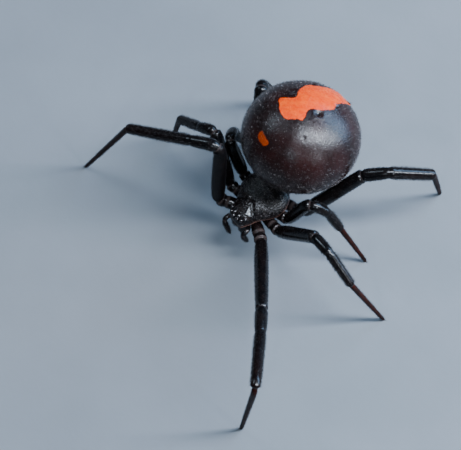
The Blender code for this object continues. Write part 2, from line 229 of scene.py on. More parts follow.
@dataclass
class Surface:
    """Mesh under way: points in millimetres, faces as index arrays, values and bake places per point."""

    points: Array
    faces: list[Array]
    values: dict[str, Array] = field(default_factory=dict)
    patches: Array | None = None

    def outward(self) -> "Surface":
        """Turns every face over where the closed surface is inside out.

        Returns:
            This surface.
        """
        volume = 0.0
        for group in self.faces:
            a = self.points[group[:, 0]]
            for k in range(1, group.shape[1] - 1):
                b, c = self.points[group[:, k]], self.points[group[:, k + 1]]
                volume += float(np.einsum("ij,ij->i", a, np.cross(b, c)).sum())
        if volume < 0:
            self.faces = [group[:, ::-1] for group in self.faces]
        return self

    def build(self, name: str, finish: bpy.types.Material, slot: Slot,
              dull: bpy.types.Material | None = None, dull_segments: Sequence[int] = ()) -> bpy.types.Object:
        """Makes the mesh object, smooth shaded and dressed, and lets it ride on the body.

        Args:
            name: The piece's name.
            finish: Its material.
            slot: Not used.
            dull: Second material, for some of a limb's segments.
            dull_segments: Numbers of those segments.

        Returns:
            The new object.
        """
        data = bpy.data.meshes.new(name)
        data.vertices.add(len(self.points))
        data.vertices.foreach_set("co", to_frame(self.points).astype(np.float32).ravel())
        corners = np.concatenate([group.ravel() for group in self.faces]).astype(np.int32)
        sizes = np.concatenate([np.full(len(group), group.shape[1]) for group in self.faces])
        starts = np.concatenate([[0], np.cumsum(sizes)[:-1]]).astype(np.int32)
        data.loops.add(len(corners))
        data.loops.foreach_set("vertex_index", corners)
        data.polygons.add(len(sizes))
        data.polygons.foreach_set("loop_start", starts)
        data.update(calc_edges=True)
        for key, values in self.values.items():
            layer = data.attributes.new(key, "FLOAT", "POINT")
            layer.data.foreach_set("value", values.astype(np.float32))
        if self.patches is not None:
            layer = data.uv_layers.new(name="OFBake")
            layer.data.foreach_set("uv", self.patches[corners].astype(np.float32).ravel())
        data.validate()
        data.shade_smooth()
        data.materials.append(finish)
        if dull is not None:
            data.materials.append(dull)
            numbers = np.rint(self.values["number"][corners[starts]]).astype(int)
            data.polygons.foreach_set("material_index", np.isin(numbers, dull_segments).astype(np.int32))
        piece = link(name, data)
        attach(piece, BODY)
        LOG.info("%s: %d points, %d faces", name, len(self.points), len(sizes))
        return piece


def lofted(rings: Array, start: Array | None = None, end: Array | None = None) -> Surface:
    """Surface over rings of points, drawn to a tip at either end.

    Args:
        rings: Points of shape (rows, columns, 3).
        start: Tip before the first ring; without it the ring's middle is the tip.
        end: Tip after the last ring; without it the ring's middle is the tip.

    Returns:
        The closed surface, with its faces outward and the two tips as its last points.
    """
    rows, columns = rings.shape[:2]
    index = np.arange(rows * columns).reshape(rows, columns)
    after = np.roll(index, -1, axis=1)
    quads = np.stack([index[:-1], after[:-1], after[1:], index[1:]], axis=-1).reshape(-1, 4)
    first, last = rows * columns, rows * columns + 1
    near = np.stack([np.full(columns, first), after[0], index[0]], axis=-1)
    far = np.stack([np.full(columns, last), index[-1], after[-1]], axis=-1)
    tips = [rings[0].mean(0) if start is None else start, rings[-1].mean(0) if end is None else end]
    points = np.concatenate([rings.reshape(-1, 3), np.array(tips)])
    return Surface(points, [quads, np.concatenate([near, far])]).outward()


def spread(rows: Array, columns: int) -> Array:
    """One value per ring given to every point of a lofted surface, tips included."""
    return np.concatenate([np.repeat(rows, columns), rows[:1], rows[-1:]])


def joined(surfaces: Sequence[Surface]) -> Surface:
    """Several surfaces as one.

    Args:
        surfaces: The surfaces.

    Returns:
        One surface, with the values that they all have, and bake places if they all have these.
    """
    faces: list[Array] = []
    base = 0
    for surface in surfaces:
        faces += [group + base for group in surface.faces]
        base += len(surface.points)
    keys = set.intersection(*[set(surface.values) for surface in surfaces])
    values = {key: np.concatenate([surface.values[key] for surface in surfaces]) for key in sorted(keys)}
    patches = None
    if all(surface.patches is not None for surface in surfaces):
        patches = np.concatenate([surface.patches for surface in surfaces])
    return Surface(np.concatenate([surface.points for surface in surfaces]), faces, values, patches)


def ring_normals(rings: Array, centre: Array) -> Array:
    """Normals of a grid of rings.

    Args:
        rings: Points of shape (rows, columns, 3).
        centre: A point inside.

    Returns:
        Unit normals that point away from the centre, of the shape of rings.
    """
    around = np.roll(rings, -1, axis=1) - np.roll(rings, 1, axis=1)
    along = np.gradient(rings, axis=0)
    normals = unit(np.cross(around, along))
    facing = np.einsum("ijk,ijk->ij", normals, rings - centre).mean()
    return normals if facing > 0 else -normals


def rounded(centre: Array, axes: Array, sizes: tuple[float, float, float], rows: int,
            columns: int) -> Surface:
    """Egg-shaped body on three axes.

    Args:
        centre: Its middle.
        axes: Its three unit axes, one in each row; the poles are on the last.
        sizes: Half sizes along the axes.
        rows: Rings between the poles.
        columns: Points in a ring.

    Returns:
        The closed surface.
    """
    polar = np.linspace(0, math.pi, rows + 2)[1:-1]
    around = np.linspace(0, 2 * math.pi, columns, endpoint=False)
    girth = np.sin(polar)[:, None]
    x, y = girth * np.cos(around), girth * np.sin(around)
    z = np.broadcast_to(-np.cos(polar)[:, None], x.shape)
    scaled = np.stack([x, y, z], -1) * np.array(sizes)
    rings = scaled @ axes + centre
    return lofted(rings, centre - axes[2] * sizes[2], centre + axes[2] * sizes[2])


@dataclass
class Setae:
    """Fine bristles as arrays: where each is rooted, how it lies, and its place on the skin's unwrap."""

    roots: Array
    normals: Array
    lie: Array
    length: Array
    radius: float
    rise: Array
    unwrap: Array
    values: dict[str, Array] = field(default_factory=dict)
    sides: int = 3
    sunk: float = 0.012
    droop: float = 0.55
    slimming: float = 0.62
    patch: float = 0.0015
    patch_waist: float = 0.6

    def surface(self) -> Surface:
        """Tapering bristles that rise from the skin and bend back towards it.

        Returns:
            The bristles as one surface, each unwrapped to a small patch at its root's place.
        """
        normals = unit(self.normals)
        flat = unit(self.lie - normals * np.einsum("ij,ij->i", self.lie, normals)[:, None])
        rise = self.rise[:, None]
        first = flat * np.cos(rise) + normals * np.sin(rise)
        second = flat * np.cos(rise * self.droop) + normals * np.sin(rise * self.droop)
        length = self.length[:, None]
        base = self.roots - first * self.sunk
        middle = self.roots + first * length * 0.5
        tip = middle + second * length * 0.5
        side = unit(np.cross(first, normals))
        over = np.cross(first, side)
        turns = 2 * math.pi * np.arange(self.sides) / self.sides
        rim = [side * math.cos(t) + over * math.sin(t) for t in turns]
        lower = [base + r * self.radius for r in rim]
        upper = [middle + r * self.radius * self.slimming for r in rim]
        points = np.stack([*lower, *upper, tip], axis=1)
        clear = points[:, :, 2].min(axis=1) > 0.0
        points, unwrap = points[clear], self.unwrap[clear]
        stride = 2 * self.sides + 1
        start = (np.arange(len(points)) * stride)[:, None]
        k = np.arange(self.sides)
        after = (k + 1) % self.sides
        quads = np.stack([k, after, after + self.sides, k + self.sides], -1)
        tips = np.stack([k + self.sides, after + self.sides, np.full(self.sides, 2 * self.sides)], -1)
        faces = [(start[:, :, None] + quads).reshape(-1, 4), (start[:, :, None] + tips).reshape(-1, 3)]
        star = [(math.cos(t), math.sin(t)) for t in turns]
        inner = [(self.patch_waist * x, self.patch_waist * y) for x, y in star]
        offsets = np.array([*star, *inner, (0.0, 0.0)]) * self.patch
        room = np.clip(unwrap, self.patch, 1 - self.patch)
        patches = (room[:, None, :] + offsets[None]).reshape(-1, 2)
        values = {key: np.repeat(one[clear], stride) for key, one in self.values.items()}
        return Surface(points.reshape(-1, 3), faces, values, patches)


PALE_FEW = 5


def tones(rng: np.random.Generator, count: int, power: int = 1,
          mark: Array | None = None) -> dict[str, Array]:
    """Tones of setae, as their material reads them.

    Args:
        rng: Source of the scatter.
        count: How many setae there are.
        power: 1 for as many pale as dark ones, higher for fewer pale ones.
        mark: How far inside a marking each stands; without it none does.

    Returns:
        The values named tone and mark.
    """
    tone = rng.uniform(0, 1, count) ** power
    return {"tone": tone, "mark": np.full(count, -1.0) if mark is None else mark}


class Bench:
    """Wires the nodes of one material, in millimetres over the whole spider."""

    def __init__(self, name: str) -> None:
        """Starts a material with one glossy shader.

        Args:
            name: The material's name.
        """
        self.material = bpy.data.materials.new(name)
        self.material.use_nodes = True
        self.tree = self.material.node_tree
        self.shader = self.tree.nodes["Principled BSDF"]
        place = self.tree.nodes.new("ShaderNodeTexCoord")
        scale = self.add("ShaderNodeVectorMath", operation="SCALE")
        self.wire(place.outputs["Object"], scale.inputs[0])
        scale.inputs["Scale"].default_value = 1.0 / MM
        self.place = scale.outputs[0]

    def add(self, kind: str, **settings: object) -> bpy.types.Node:
        """Adds a node.

        Args:
            kind: Its type.
            settings: Its own properties.

        Returns:
            The node.
        """
        node = self.tree.nodes.new(kind)
        for key, value in settings.items():
            setattr(node, key, value)
        return node

    def wire(self, source: Socket, target: Socket) -> None:
        """Links an output to an input."""
        self.tree.links.new(source, target)

    def noise(self, size: float, detail: float = 4.0) -> Socket:
        """Cloudy value from 0 to 1.

        Args:
            size: Width of a cloud in millimetres.
            detail: How many finer layers it has.

        Returns:
            The value's socket.
        """
        node = self.add("ShaderNodeTexNoise")
        node.inputs["Scale"].default_value = 1.0 / size
        node.inputs["Detail"].default_value = detail
        self.wire(self.place, node.inputs["Vector"])
        return node.outputs["Fac"]

    def cells(self, size: float) -> Socket:
        """Distance to the nearest of scattered points.

        Args:
            size: Width of a grain in millimetres.

        Returns:
            The distance's socket.
        """
        node = self.add("ShaderNodeTexVoronoi")
        node.inputs["Scale"].default_value = 1.0 / size
        self.wire(self.place, node.inputs["Vector"])
        return node.outputs["Distance"]

    def value(self, key: str) -> Socket:
        """A value that the mesh carries at its points."""
        return self.add("ShaderNodeAttribute", attribute_name=key).outputs["Fac"]

    def graded(self, source: Socket, low: float, high: float, start: float = 0.0,
               end: float = 1.0) -> Socket:
        """Value carried smoothly from one range to another.

        Args:
            source: The value.
            low: Where it begins to count.
            high: Where it counts in full.
            start: Result at low.
            end: Result at high.

        Returns:
            The result's socket.
        """
        node = self.add("ShaderNodeMapRange", interpolation_type="SMOOTHSTEP")
        for key, number in (("From Min", low), ("From Max", high), ("To Min", start), ("To Max", end)):
            node.inputs[key].default_value = number
        self.wire(source, node.inputs["Value"])
        return node.outputs["Result"]

    def clouds(self, size: float, low: float = 0.3, high: float = 0.7, start: float = 0.0, end: float = 1.0,
               detail: float = 4.0) -> Socket:
        """Cloudy value from start to end.

        Args:
            size: Width of a cloud in millimetres.
            low: Noise at which the value leaves the start.
            high: Noise at which it reaches the end.
            start: Lowest value.
            end: Highest value.
            detail: How many finer layers the clouds have.

        Returns:
            The value's socket.
        """
        return self.graded(self.noise(size, detail), low, high, start, end)

    def gloss(self, size: float, span: tuple[float, float], detail: float = 4.0) -> Socket:
        """Roughness that wanders between two values, in clouds of a size in millimetres."""
        return self.clouds(size, start=span[0], end=span[1], detail=detail)

    def sum(self, first: Socket, second: Socket, share: float) -> Socket:
        """First value plus a share of the second.

        Args:
            first: The first value.
            second: The second value.
            share: What the second is multiplied by.

        Returns:
            The sum's socket.
        """
        node = self.add("ShaderNodeMath", operation="MULTIPLY_ADD")
        self.wire(second, node.inputs[0])
        node.inputs[1].default_value = share
        self.wire(first, node.inputs[2])
        return node.outputs[0]

    def blend(self, amount: Socket, first: Colour | Socket,
              second: Colour | Socket) -> Socket:
        """Mix of two colours.

        Args:
            amount: 0 for the first and 1 for the second.
            first: A colour, or a socket that gives one.
            second: A colour, or a socket that gives one.

        Returns:
            The mixed colour's socket.
        """
        node = self.add("ShaderNodeMix", data_type="RGBA")
        self.wire(amount, node.inputs[0])
        for socket, colour in ((node.inputs[6], first), (node.inputs[7], second)):
            if isinstance(colour, tuple):
                socket.default_value = (*colour, 1.0)
            else:
                self.wire(colour, socket)
        return node.outputs[2]

    def relief(self, height: Socket, depth: float,
               strength: float | Socket = 1.0) -> None:
        """Fine relief under the gloss.

        Args:
            height: Height from 0 to 1.
            depth: Height of 1 in millimetres.
            strength: How strongly it shows, or a socket that gives it.
        """
        node = self.add("ShaderNodeBump")
        node.inputs["Distance"].default_value = depth * MM
        if isinstance(strength, float):
            node.inputs["Strength"].default_value = strength
        else:
            self.wire(strength, node.inputs["Strength"])
        self.wire(height, node.inputs["Height"])
        self.wire(node.outputs["Normal"], self.shader.inputs["Normal"])

    def finish(self, colour: Socket, roughness: Socket, specular: float,
               coat: tuple[float, float] = (0.0, 0.1)) -> bpy.types.Material:
        """Sets the shader's last inputs.

        Args:
            colour: Base colour.
            roughness: Roughness of the gloss.
            specular: Strength of the reflection.
            coat: Weight and roughness of a clear coat.

        Returns:
            The material.
        """
        self.wire(colour, self.shader.inputs["Base Color"])
        self.wire(roughness, self.shader.inputs["Roughness"])
        self.shader.inputs["Specular IOR Level"].default_value = specular
        self.shader.inputs["Coat Weight"].default_value = coat[0]
        self.shader.inputs["Coat Roughness"].default_value = coat[1]
        return self.material


@dataclass(frozen=True)
class ShellFinish:
    """Polished black cuticle, red-brown where a piece is tinted, pale in the folds of a joint and in painted
    highlight rings.
    """

    name: str = "polished_cuticle"
    black: Colour = (0.0014, 0.0013, 0.0016)
    soot: Colour = (0.0036, 0.0026, 0.0026)
    brown: Colour = (0.026, 0.0048, 0.0022)
    deep_brown: Colour = (0.009, 0.0020, 0.0013)
    # Pale joint membrane; the same colour paints the highlight rings on a segment's ridges.
    membrane: Colour = (0.075, 0.054, 0.050)
    roughness: tuple[float, float] = (0.17, 0.29)
    specular: float = 0.19
    soot_cloud: float = 0.5
    brown_cloud: float = 0.35
    gloss_cloud: float = 0.22
    swelling: float = 0.12
    cell: float = 0.085
    cell_share: float = -0.55
    speck: float = 0.035
    speck_share: float = 0.4
    depth: float = 0.004

    def make(self) -> bpy.types.Material:
        """Wires the finish.

        Returns:
            Its material.
        """
        bench = Bench(self.name)
        dark = bench.blend(bench.clouds(self.soot_cloud, low=0.4, detail=3.0), self.black, self.soot)
        clouds = bench.clouds(self.brown_cloud, low=0.35, detail=3.0)
        warm = bench.blend(clouds, self.deep_brown, self.brown)
        tinted = bench.blend(bench.value("tint"), dark, warm)
        # Pale where the joints' membrane shows and where highlight rings are painted.
        colour = bench.blend(bench.value("membrane"), tinted, self.membrane)
        specks = bench.noise(self.speck, detail=2.0)
        grain = bench.sum(bench.noise(self.swelling), bench.cells(self.cell), self.cell_share)
        bench.relief(bench.sum(grain, specks, self.speck_share), self.depth, strength=0.5)
        return bench.finish(colour, bench.gloss(self.gloss_cloud, self.roughness), self.specular)


@dataclass(frozen=True)
class CarapaceFinish:
    """Finely granular brown-black shield with a warm thin rim and two smooth facets."""

    name: str = "granular_cuticle"
    black: Colour = (0.0018, 0.0015, 0.0019)
    brown: Colour = (0.0062, 0.0036, 0.0032)
    rim: Colour = (0.105, 0.052, 0.040)
    roughness: tuple[float, float] = (0.22, 0.34)
    polished: float = -0.10
    specular: float = 0.36
    brown_cloud: float = 0.28
    gloss_cloud: float = 0.12
    speck: float = 0.05
    cell: float = 0.085
    cell_share: float = -0.9
    depth: float = 0.024
    strength: tuple[float, float] = (0.85, 0.08)
    polish_full: float = 0.8

    def make(self) -> bpy.types.Material:
        """Wires the finish.

        Returns:
            Its material.
        """
        bench = Bench(self.name)
        dark = bench.blend(bench.clouds(self.brown_cloud, low=0.35), self.black, self.brown)
        colour = bench.blend(bench.value("rim"), dark, self.rim)
        grain = bench.sum(bench.noise(self.speck), bench.cells(self.cell), self.cell_share)
        polish = bench.value("polish")
        bench.relief(grain, self.depth, bench.graded(polish, 0.0, self.polish_full, *self.strength))
        gloss = bench.gloss(self.gloss_cloud, self.roughness, detail=3.0)
        roughness = bench.sum(gloss, polish, self.polished)
        return bench.finish(colour, roughness, self.specular)


@dataclass(frozen=True)
class AbdomenFinish:
    """Satin maroon-black skin with the orange-red stripe, the dull front dash, the underside's mark and
    painted shade in the muscle pits.
    """

    name: str = "satin_skin"
    dark: Colour = (0.0040, 0.0016, 0.0017)
    maroon: Colour = (0.0125, 0.0034, 0.0032)
    orange: Colour = (0.40, 0.025, 0.0001)
    pale_orange: Colour = (0.50, 0.050, 0.0005)
    dull: Colour = (0.165, 0.018, 0.0005)
    # Painted shade: near black in the muscle pits.
    pit: Colour = (0.0008, 0.0006, 0.0007)
    roughness: tuple[float, float] = (0.24, 0.33)
    specular: float = 0.24
    maroon_cloud: float = 1.4
    orange_cloud: float = 0.4
    gloss_cloud: float = 0.2
    edge: float = 0.018
    ragged: float = 0.22
    tooth: float = 0.065
    wave: float = 0.30
    wave_share: float = 1.2
    ragged_middle: float = 1.1
    speck: float = 0.07
    cell: float = 0.10
    cell_share: float = -0.8
    depth: float = 0.015

    def make(self) -> bpy.types.Material:
        """Wires the finish.

        Returns:
            Its material.
        """
        bench = Bench(self.name)
        colour = bench.blend(bench.clouds(self.maroon_cloud, low=0.25, high=0.80), self.dark, self.maroon)
        clouds = bench.clouds(self.orange_cloud, low=0.35, high=0.75)
        bright = bench.blend(clouds, self.orange, self.pale_orange)
        ragged = bench.sum(bench.noise(self.tooth), bench.noise(self.wave, detail=3.0), self.wave_share)
        middle = self.ragged_middle * self.ragged
        for key, paint in (("dash", self.dull), ("mark", bright)):
            shifted = bench.sum(bench.value(key), ragged, self.ragged)
            colour = bench.blend(bench.graded(shifted, middle - self.edge, middle + self.edge), colour, paint)
        # Painted shade darkens the muscle pits.
        colour = bench.blend(bench.graded(bench.value("pit"), low=0.25, high=0.9), colour, self.pit)
        pores = bench.sum(bench.noise(self.speck), bench.cells(self.cell), self.cell_share)
        bench.relief(pores, self.depth, strength=0.75)
        return bench.finish(colour, bench.gloss(self.gloss_cloud, self.roughness), self.specular)


@dataclass(frozen=True)
class PlainFinish:
    """A small horny or glassy piece of one colour with a slight grain."""

    name: str
    colour: Colour
    other: Colour
    roughness: tuple[float, float]
    coat: float = 0.0
    depth: float = 0.006
    specular: float = 0.5
    cloud: float = 0.12
    gloss_cloud: float = 0.1
    speck: float = 0.05
    coat_roughness: float = 0.05

    def make(self) -> bpy.types.Material:
        """Wires the finish.

        Returns:
            Its material.
        """
        bench = Bench(self.name)
        colour = bench.blend(bench.clouds(self.cloud, low=0.35, detail=3.0), self.colour, self.other)
        bench.relief(bench.noise(self.speck, detail=3.0), self.depth, strength=0.5)
        roughness = bench.gloss(self.gloss_cloud, self.roughness, detail=3.0)
        return bench.finish(colour, roughness, self.specular, (self.coat, self.coat_roughness))


@dataclass(frozen=True)
class SetaFinish:
    """Bristles in two tones, orange where they stand on a marking."""

    name: str
    dark: Colour
    pale: Colour
    marked: Colour = (0.38, 0.034, 0.0003)
    bleached: Colour = (0.72, 0.24, 0.10)
    roughness: tuple[float, float] = (0.33, 0.46)
    specular: float = 0.06
    gloss_cloud: float = 0.3
    mark_edge: tuple[float, float] = (-0.01, 0.05)

    def make(self) -> bpy.types.Material:
        """Wires the finish.

        Returns:
            Its material.
        """
        bench = Bench(self.name)
        toned = bench.blend(bench.value("tone"), self.dark, self.pale)
        warm = bench.blend(bench.value("tone"), self.marked, self.bleached)
        colour = bench.blend(bench.graded(bench.value("mark"), *self.mark_edge), toned, warm)
        return bench.finish(colour, bench.gloss(self.gloss_cloud, self.roughness, detail=2.0), self.specular)


@dataclass(frozen=True)
class FloorFinish:
    """Plain pale matt surface with a faint mottle."""

    name: str = "pale_floor"
    pale: Colour = (0.112, 0.122, 0.134)
    grey: Colour = (0.102, 0.112, 0.123)
    roughness: tuple[float, float] = (0.75, 0.9)
    specular: float = 0.2
    mottle: float = 9.0
    gloss_cloud: float = 3.0
    speck: float = 0.6
    depth: float = 0.03

    def make(self) -> bpy.types.Material:
        """Wires the finish.

        Returns:
            Its material.
        """
        bench = Bench(self.name)
        colour = bench.blend(bench.clouds(self.mottle), self.pale, self.grey)
        bench.relief(bench.noise(self.speck), self.depth, strength=0.4)
        return bench.finish(colour, bench.gloss(self.gloss_cloud, self.roughness, detail=3.0), self.specular)


class Wardrobe:
    """The spider's materials, each made once."""

    def __init__(self) -> None:
        """Makes every finish."""
        self.shell = ShellFinish().make()
        self.shin = ShellFinish("dull_cuticle", brown=(0.029, 0.0046, 0.0021),
                                deep_brown=(0.011, 0.0022, 0.0013), roughness=(0.34, 0.46),
                                specular=0.06).make()
        self.carapace = CarapaceFinish().make()
        self.abdomen = AbdomenFinish().make()
        self.eye = PlainFinish("dark_eye", (0.004, 0.003, 0.004), (0.010, 0.006, 0.006), (0.10, 0.16),
                               coat=0.4, depth=0.0).make()
        self.fang = PlainFinish("red_brown_horn", (0.045, 0.010, 0.006), (0.085, 0.022, 0.010), (0.14, 0.26),
                                coat=0.4).make()
        self.claw = PlainFinish("dark_horn", (0.012, 0.007, 0.005), (0.030, 0.014, 0.009), (0.2, 0.34)).make()
        self.pale_setae = SetaFinish("pale_setae", (0.006, 0.003, 0.003), (0.33, 0.30, 0.30)).make()
        self.dark_setae = SetaFinish("dark_setae", (0.0018, 0.0012, 0.0012), (0.040, 0.035, 0.036)).make()
        self.floor = FloorFinish().make()


@dataclass(frozen=True)
class Growth:
    """How setae stand on one segment: rows round it, spacing along it, length, rise and thickness."""

    rows: int
    spacing: float
    length: float
    rise: float = 38.0
    radius: float = 0.011


@dataclass(frozen=True)
class SegmentLook:
    """Shape and colour of one segment along its length, and the setae on it."""

    outline: Pairs
    growth: Growth
    tint: tuple[float, float] = (0.0, 0.0)
    cuff: float = 0.06
    waist: float = 0.91
    fold: float = 0.28
    # Painted highlight: pale rings at places along the segment, each with its half width.
    rings: Pairs = ()


def read_rows(rows: Array, along: Array, spots: Array) -> Array:
    """Vectors given at places along a line, read at other places along it.

    Args:
        rows: The vectors, of shape (N, 3).
        along: Their places, in rising order.
        spots: The places to read.

    Returns:
        One vector for each of the spots.
    """
    return np.stack([np.interp(spots, along, rows[:, k]) for k in range(rows.shape[1])], -1)


@dataclass
class BentTube:
    """Jointed limb as one continuous skin along the bent centreline that its solids follow."""

    joints: Array
    radii: Sequence[float]
    looks: Sequence[SegmentLook]
    bend_radii: dict[int, float]
    columns: int = 28
    fine: float = 0.035
    coarse: float = 0.075
    near_joint: float = 0.42
    tip_lift: float | None = None

    BEND_REACH = 1.15
    SHORTEST_REACH = 0.3
    LONGEST_SHARE = 0.47
    BEND_STEPS = 14
    FEWEST_SPOTS = 3
    # How pale the painted highlight rings are.
    HIGHLIGHT_RING_STRENGTH = 0.40
    SWELL = (0.05, 0.45)
    NARROW = (0.05, 0.18)
    FOLD = (0.01, 0.07)
    CUFF_PLACE = 0.30
    CUFF_WIDTH = 0.20
    TIP_ANGLES = (25.0, 45.0, 62.0, 76.0)
    TIP_LENGTH = 1.3
    TIP_POINT = 0.3
    MARGIN = 0.12
    ROW_STAGGER = 0.618
    TURN_SCATTER = 0.22
    PLACE_SCATTER = 0.25
    LIE_SCATTER = 0.16
    RISE_SCATTER = 7.0
    LENGTHS = (0.7, 1.2)

    def __post_init__(self) -> None:
        """Lays out the rings."""
        self.bends = {index: self.bend(index, radius) for index, radius in self.bend_radii.items()}
        pieces = [self.segment(index) for index in range(len(self.looks))]
        self.starts = np.cumsum([0.0] + [length for _, length in pieces])
        centres, radius, tint, membrane, along, number = [], [], [], [], [], []
        for index, (line, length) in enumerate(pieces):
            spots = self.spots(length)
            if index:
                spots = spots[1:]
            measured = np.concatenate([[0.0], np.cumsum(np.linalg.norm(np.diff(line, axis=0), axis=1))])
            centres.append(read_rows(line, measured, spots))
            thick, pale = self.thickness(index, spots, length)
            radius.append(thick)
            membrane.append(pale)
            low, high = self.looks[index].tint
            tint.append(low + (high - low) * spots / length)
            along.append(self.starts[index] + spots)
            number.append(np.full(len(spots), index))
        self.centres = np.concatenate(centres)
        self.radius = np.concatenate(radius)
        self.tint = np.concatenate(tint)
        self.membrane = np.concatenate(membrane)
        self.along = np.concatenate(along)
        self.number = np.concatenate(number)
        if self.tip_lift is not None:
            self.cut_tip(self.tip_lift)
        self.tangents = unit(np.gradient(self.centres, self.along, axis=0))
        self.across, self.over = self.frames()

    def bend(self, index: int, radius: float) -> tuple[Array, Array, Array]:
        """Lays out the curve at a joint.

        Args:
            index: The joint's number.
            radius: Radius of the solid there.

        Returns:
            Start, middle control and end of the curve.
        """
        here = self.joints[index]
        back, ahead = self.joints[index - 1] - here, self.joints[index + 1] - here
        back_length, ahead_length = np.linalg.norm(back), np.linalg.norm(ahead)
        turn = math.pi - math.acos(float(back @ ahead) / (back_length * ahead_length))
        need = radius * self.BEND_REACH * math.sin(turn / 2) / math.cos(turn / 2) ** 2
        reach = min(max(need, self.SHORTEST_REACH), self.LONGEST_SHARE * back_length,
                    self.LONGEST_SHARE * ahead_length)
        return here + back / back_length * reach, here, here + ahead / ahead_length * reach

    def on_bend(self, index: int, low: float, high: float) -> Array:
        """Points of a joint's curve between two of its places, 0 being its start and 1 its end."""
        a, b, c = self.bends[index]
        t = np.linspace(low, high, self.BEND_STEPS)[:, None]
        return a * (1 - t) ** 2 + b * 2 * t * (1 - t) + c * t**2

    def segment(self, index: int) -> tuple[Array, float]:
        """Lays out one segment, from the middle of a joint to the middle of the next.

        Args:
            index: The segment's number.

        Returns:
            Its centreline and its length.
        """
        runs = []
        for joint, low, high in ((index, 0.5, 1.0), (index + 1, 0.0, 0.5)):
            bent = joint in self.bends
            runs.append(self.on_bend(joint, low, high) if bent else self.joints[joint][None])
        line = np.concatenate(runs)
        return line, float(np.linalg.norm(np.diff(line, axis=0), axis=1).sum())

    def spots(self, length: float) -> Array:
        """Spaces the rings along a segment, closer together at the joints.

        Args:
            length: The segment's length.

        Returns:
            The rings' places.
        """
        zone = min(self.near_joint, length / 3)
        close = np.linspace(0, zone, max(int(zone / self.fine), self.FEWEST_SPOTS))
        steps = max(int((length - 2 * zone) / self.coarse), self.FEWEST_SPOTS)
        middle = np.linspace(zone, length - zone, steps)
        return np.concatenate([close, middle[1:-1], length - close[::-1]])

    def end_radius(self, index: int, far: bool) -> float:
        """Radius that a segment's outline has at one end."""
        pairs = self.looks[index].outline
        return self.radii[index] * pairs[-1 if far else 0][1]

    def joint_radius(self, index: int) -> float | None:
        """Radius in the fold of a joint.

        Args:
            index: The joint's number.

        Returns:
            The radius, or nothing at the two ends of the limb.
        """
        if index <= 0 or index >= len(self.looks):
            return None
        ends = min(self.end_radius(index - 1, True), self.end_radius(index, False))
        return ends * self.looks[index - 1].waist

    def thickness(self, index: int, spots: Array, length: float) -> tuple[Array, Array]:
        """Radius along one segment, and how much pale shows, from the joints' folds and the painted highlight
        rings.

        Args:
            index: The segment's number.
            spots: Places along it.
            length: Its length.

        Returns:
            The radii and the shares of pale fold and painted highlight, one for each place.
        """
        look, full = self.looks[index], self.radii[index]
        own = full * outline(look.outline, spots / length)
        pale = np.zeros_like(own)
        # Painted highlight: pale rings where the segment's ridges catch the light.
        for place, half in look.rings:
            pale = np.maximum(pale, bump(spots / length - place, half) * self.HIGHLIGHT_RING_STRENGTH)
        near, far = self.joint_radius(index), self.joint_radius(index + 1)
        if near is not None:
            own = near + (own - near) * ease(*self.SWELL, spots / full)
            pale = np.maximum(pale, (1 - ease(*self.FOLD, spots / full)) * self.looks[index - 1].fold)
        if far is not None:
            back = (length - spots) / full
            own = own * (1 + look.cuff * bump(back - self.CUFF_PLACE, self.CUFF_WIDTH))
            own = far + (own - far) * ease(*self.NARROW, back)
            pale = np.maximum(pale, (1 - ease(*self.FOLD, back)) * look.fold)
        return own, pale

    def cut_tip(self, lift: float) -> None:
        """Ends the limb above the floor and rounds its tip.

        Args:
            lift: Height of the last ring's middle.
        """
        keep = self.centres[:, 2] > lift
        for name in ("centres", "radius", "tint", "membrane", "along", "number"):
            setattr(self, name, getattr(self, name)[keep])
        down = unit(self.centres[-1] - self.centres[-2])
        angles = np.radians(self.TIP_ANGLES)
        end = self.radius[-1]
        steps = end * np.sin(angles) * self.TIP_LENGTH
        self.centres = np.concatenate([self.centres, self.centres[-1] + down * steps[:, None]])
        self.radius = np.concatenate([self.radius, end * np.cos(angles)])
        for name in ("tint", "membrane", "number"):
            row = getattr(self, name)
            setattr(self, name, np.concatenate([row, np.full(len(angles), row[-1])]))
        self.along = np.concatenate([self.along, self.along[-1] + steps])

    def frames(self) -> tuple[Array, Array]:
        """Carries two directions across the limb along it without a twist.

        Returns:
            The two unit vectors at each ring.
        """
        side = square_to(self.tangents[0])
        across = np.empty_like(self.tangents)
        for k, tangent in enumerate(self.tangents):
            side = side - tangent * (side @ tangent)
            side = side / np.linalg.norm(side)
            across[k] = side
        return across, np.cross(self.tangents, across)

    def skin(self) -> Surface:
        """Wraps the rings.

        Returns:
            The closed skin, with its tint, the folds of its joints with the painted highlight rings, and its
            segments' numbers.
        """
        turns = np.linspace(0, 2 * math.pi, self.columns, endpoint=False)
        spoke = (self.across[:, None, :] * np.cos(turns)[None, :, None]
                 + self.over[:, None, :] * np.sin(turns)[None, :, None])
        rings = self.centres[:, None, :] + spoke * self.radius[:, None, None]
        end = self.centres[-1] + self.tangents[-1] * self.radius[-1] * self.TIP_POINT
        surface = lofted(rings, self.centres[0], end)
        for key, rows in (("tint", self.tint), ("membrane", self.membrane), ("number", self.number)):
            surface.values[key] = spread(rows, self.columns)
        return surface

    def read(self, rows: Array, spots: Array) -> Array:
        """Vectors of the rings read at places along the limb."""
        return read_rows(rows, self.along, spots)

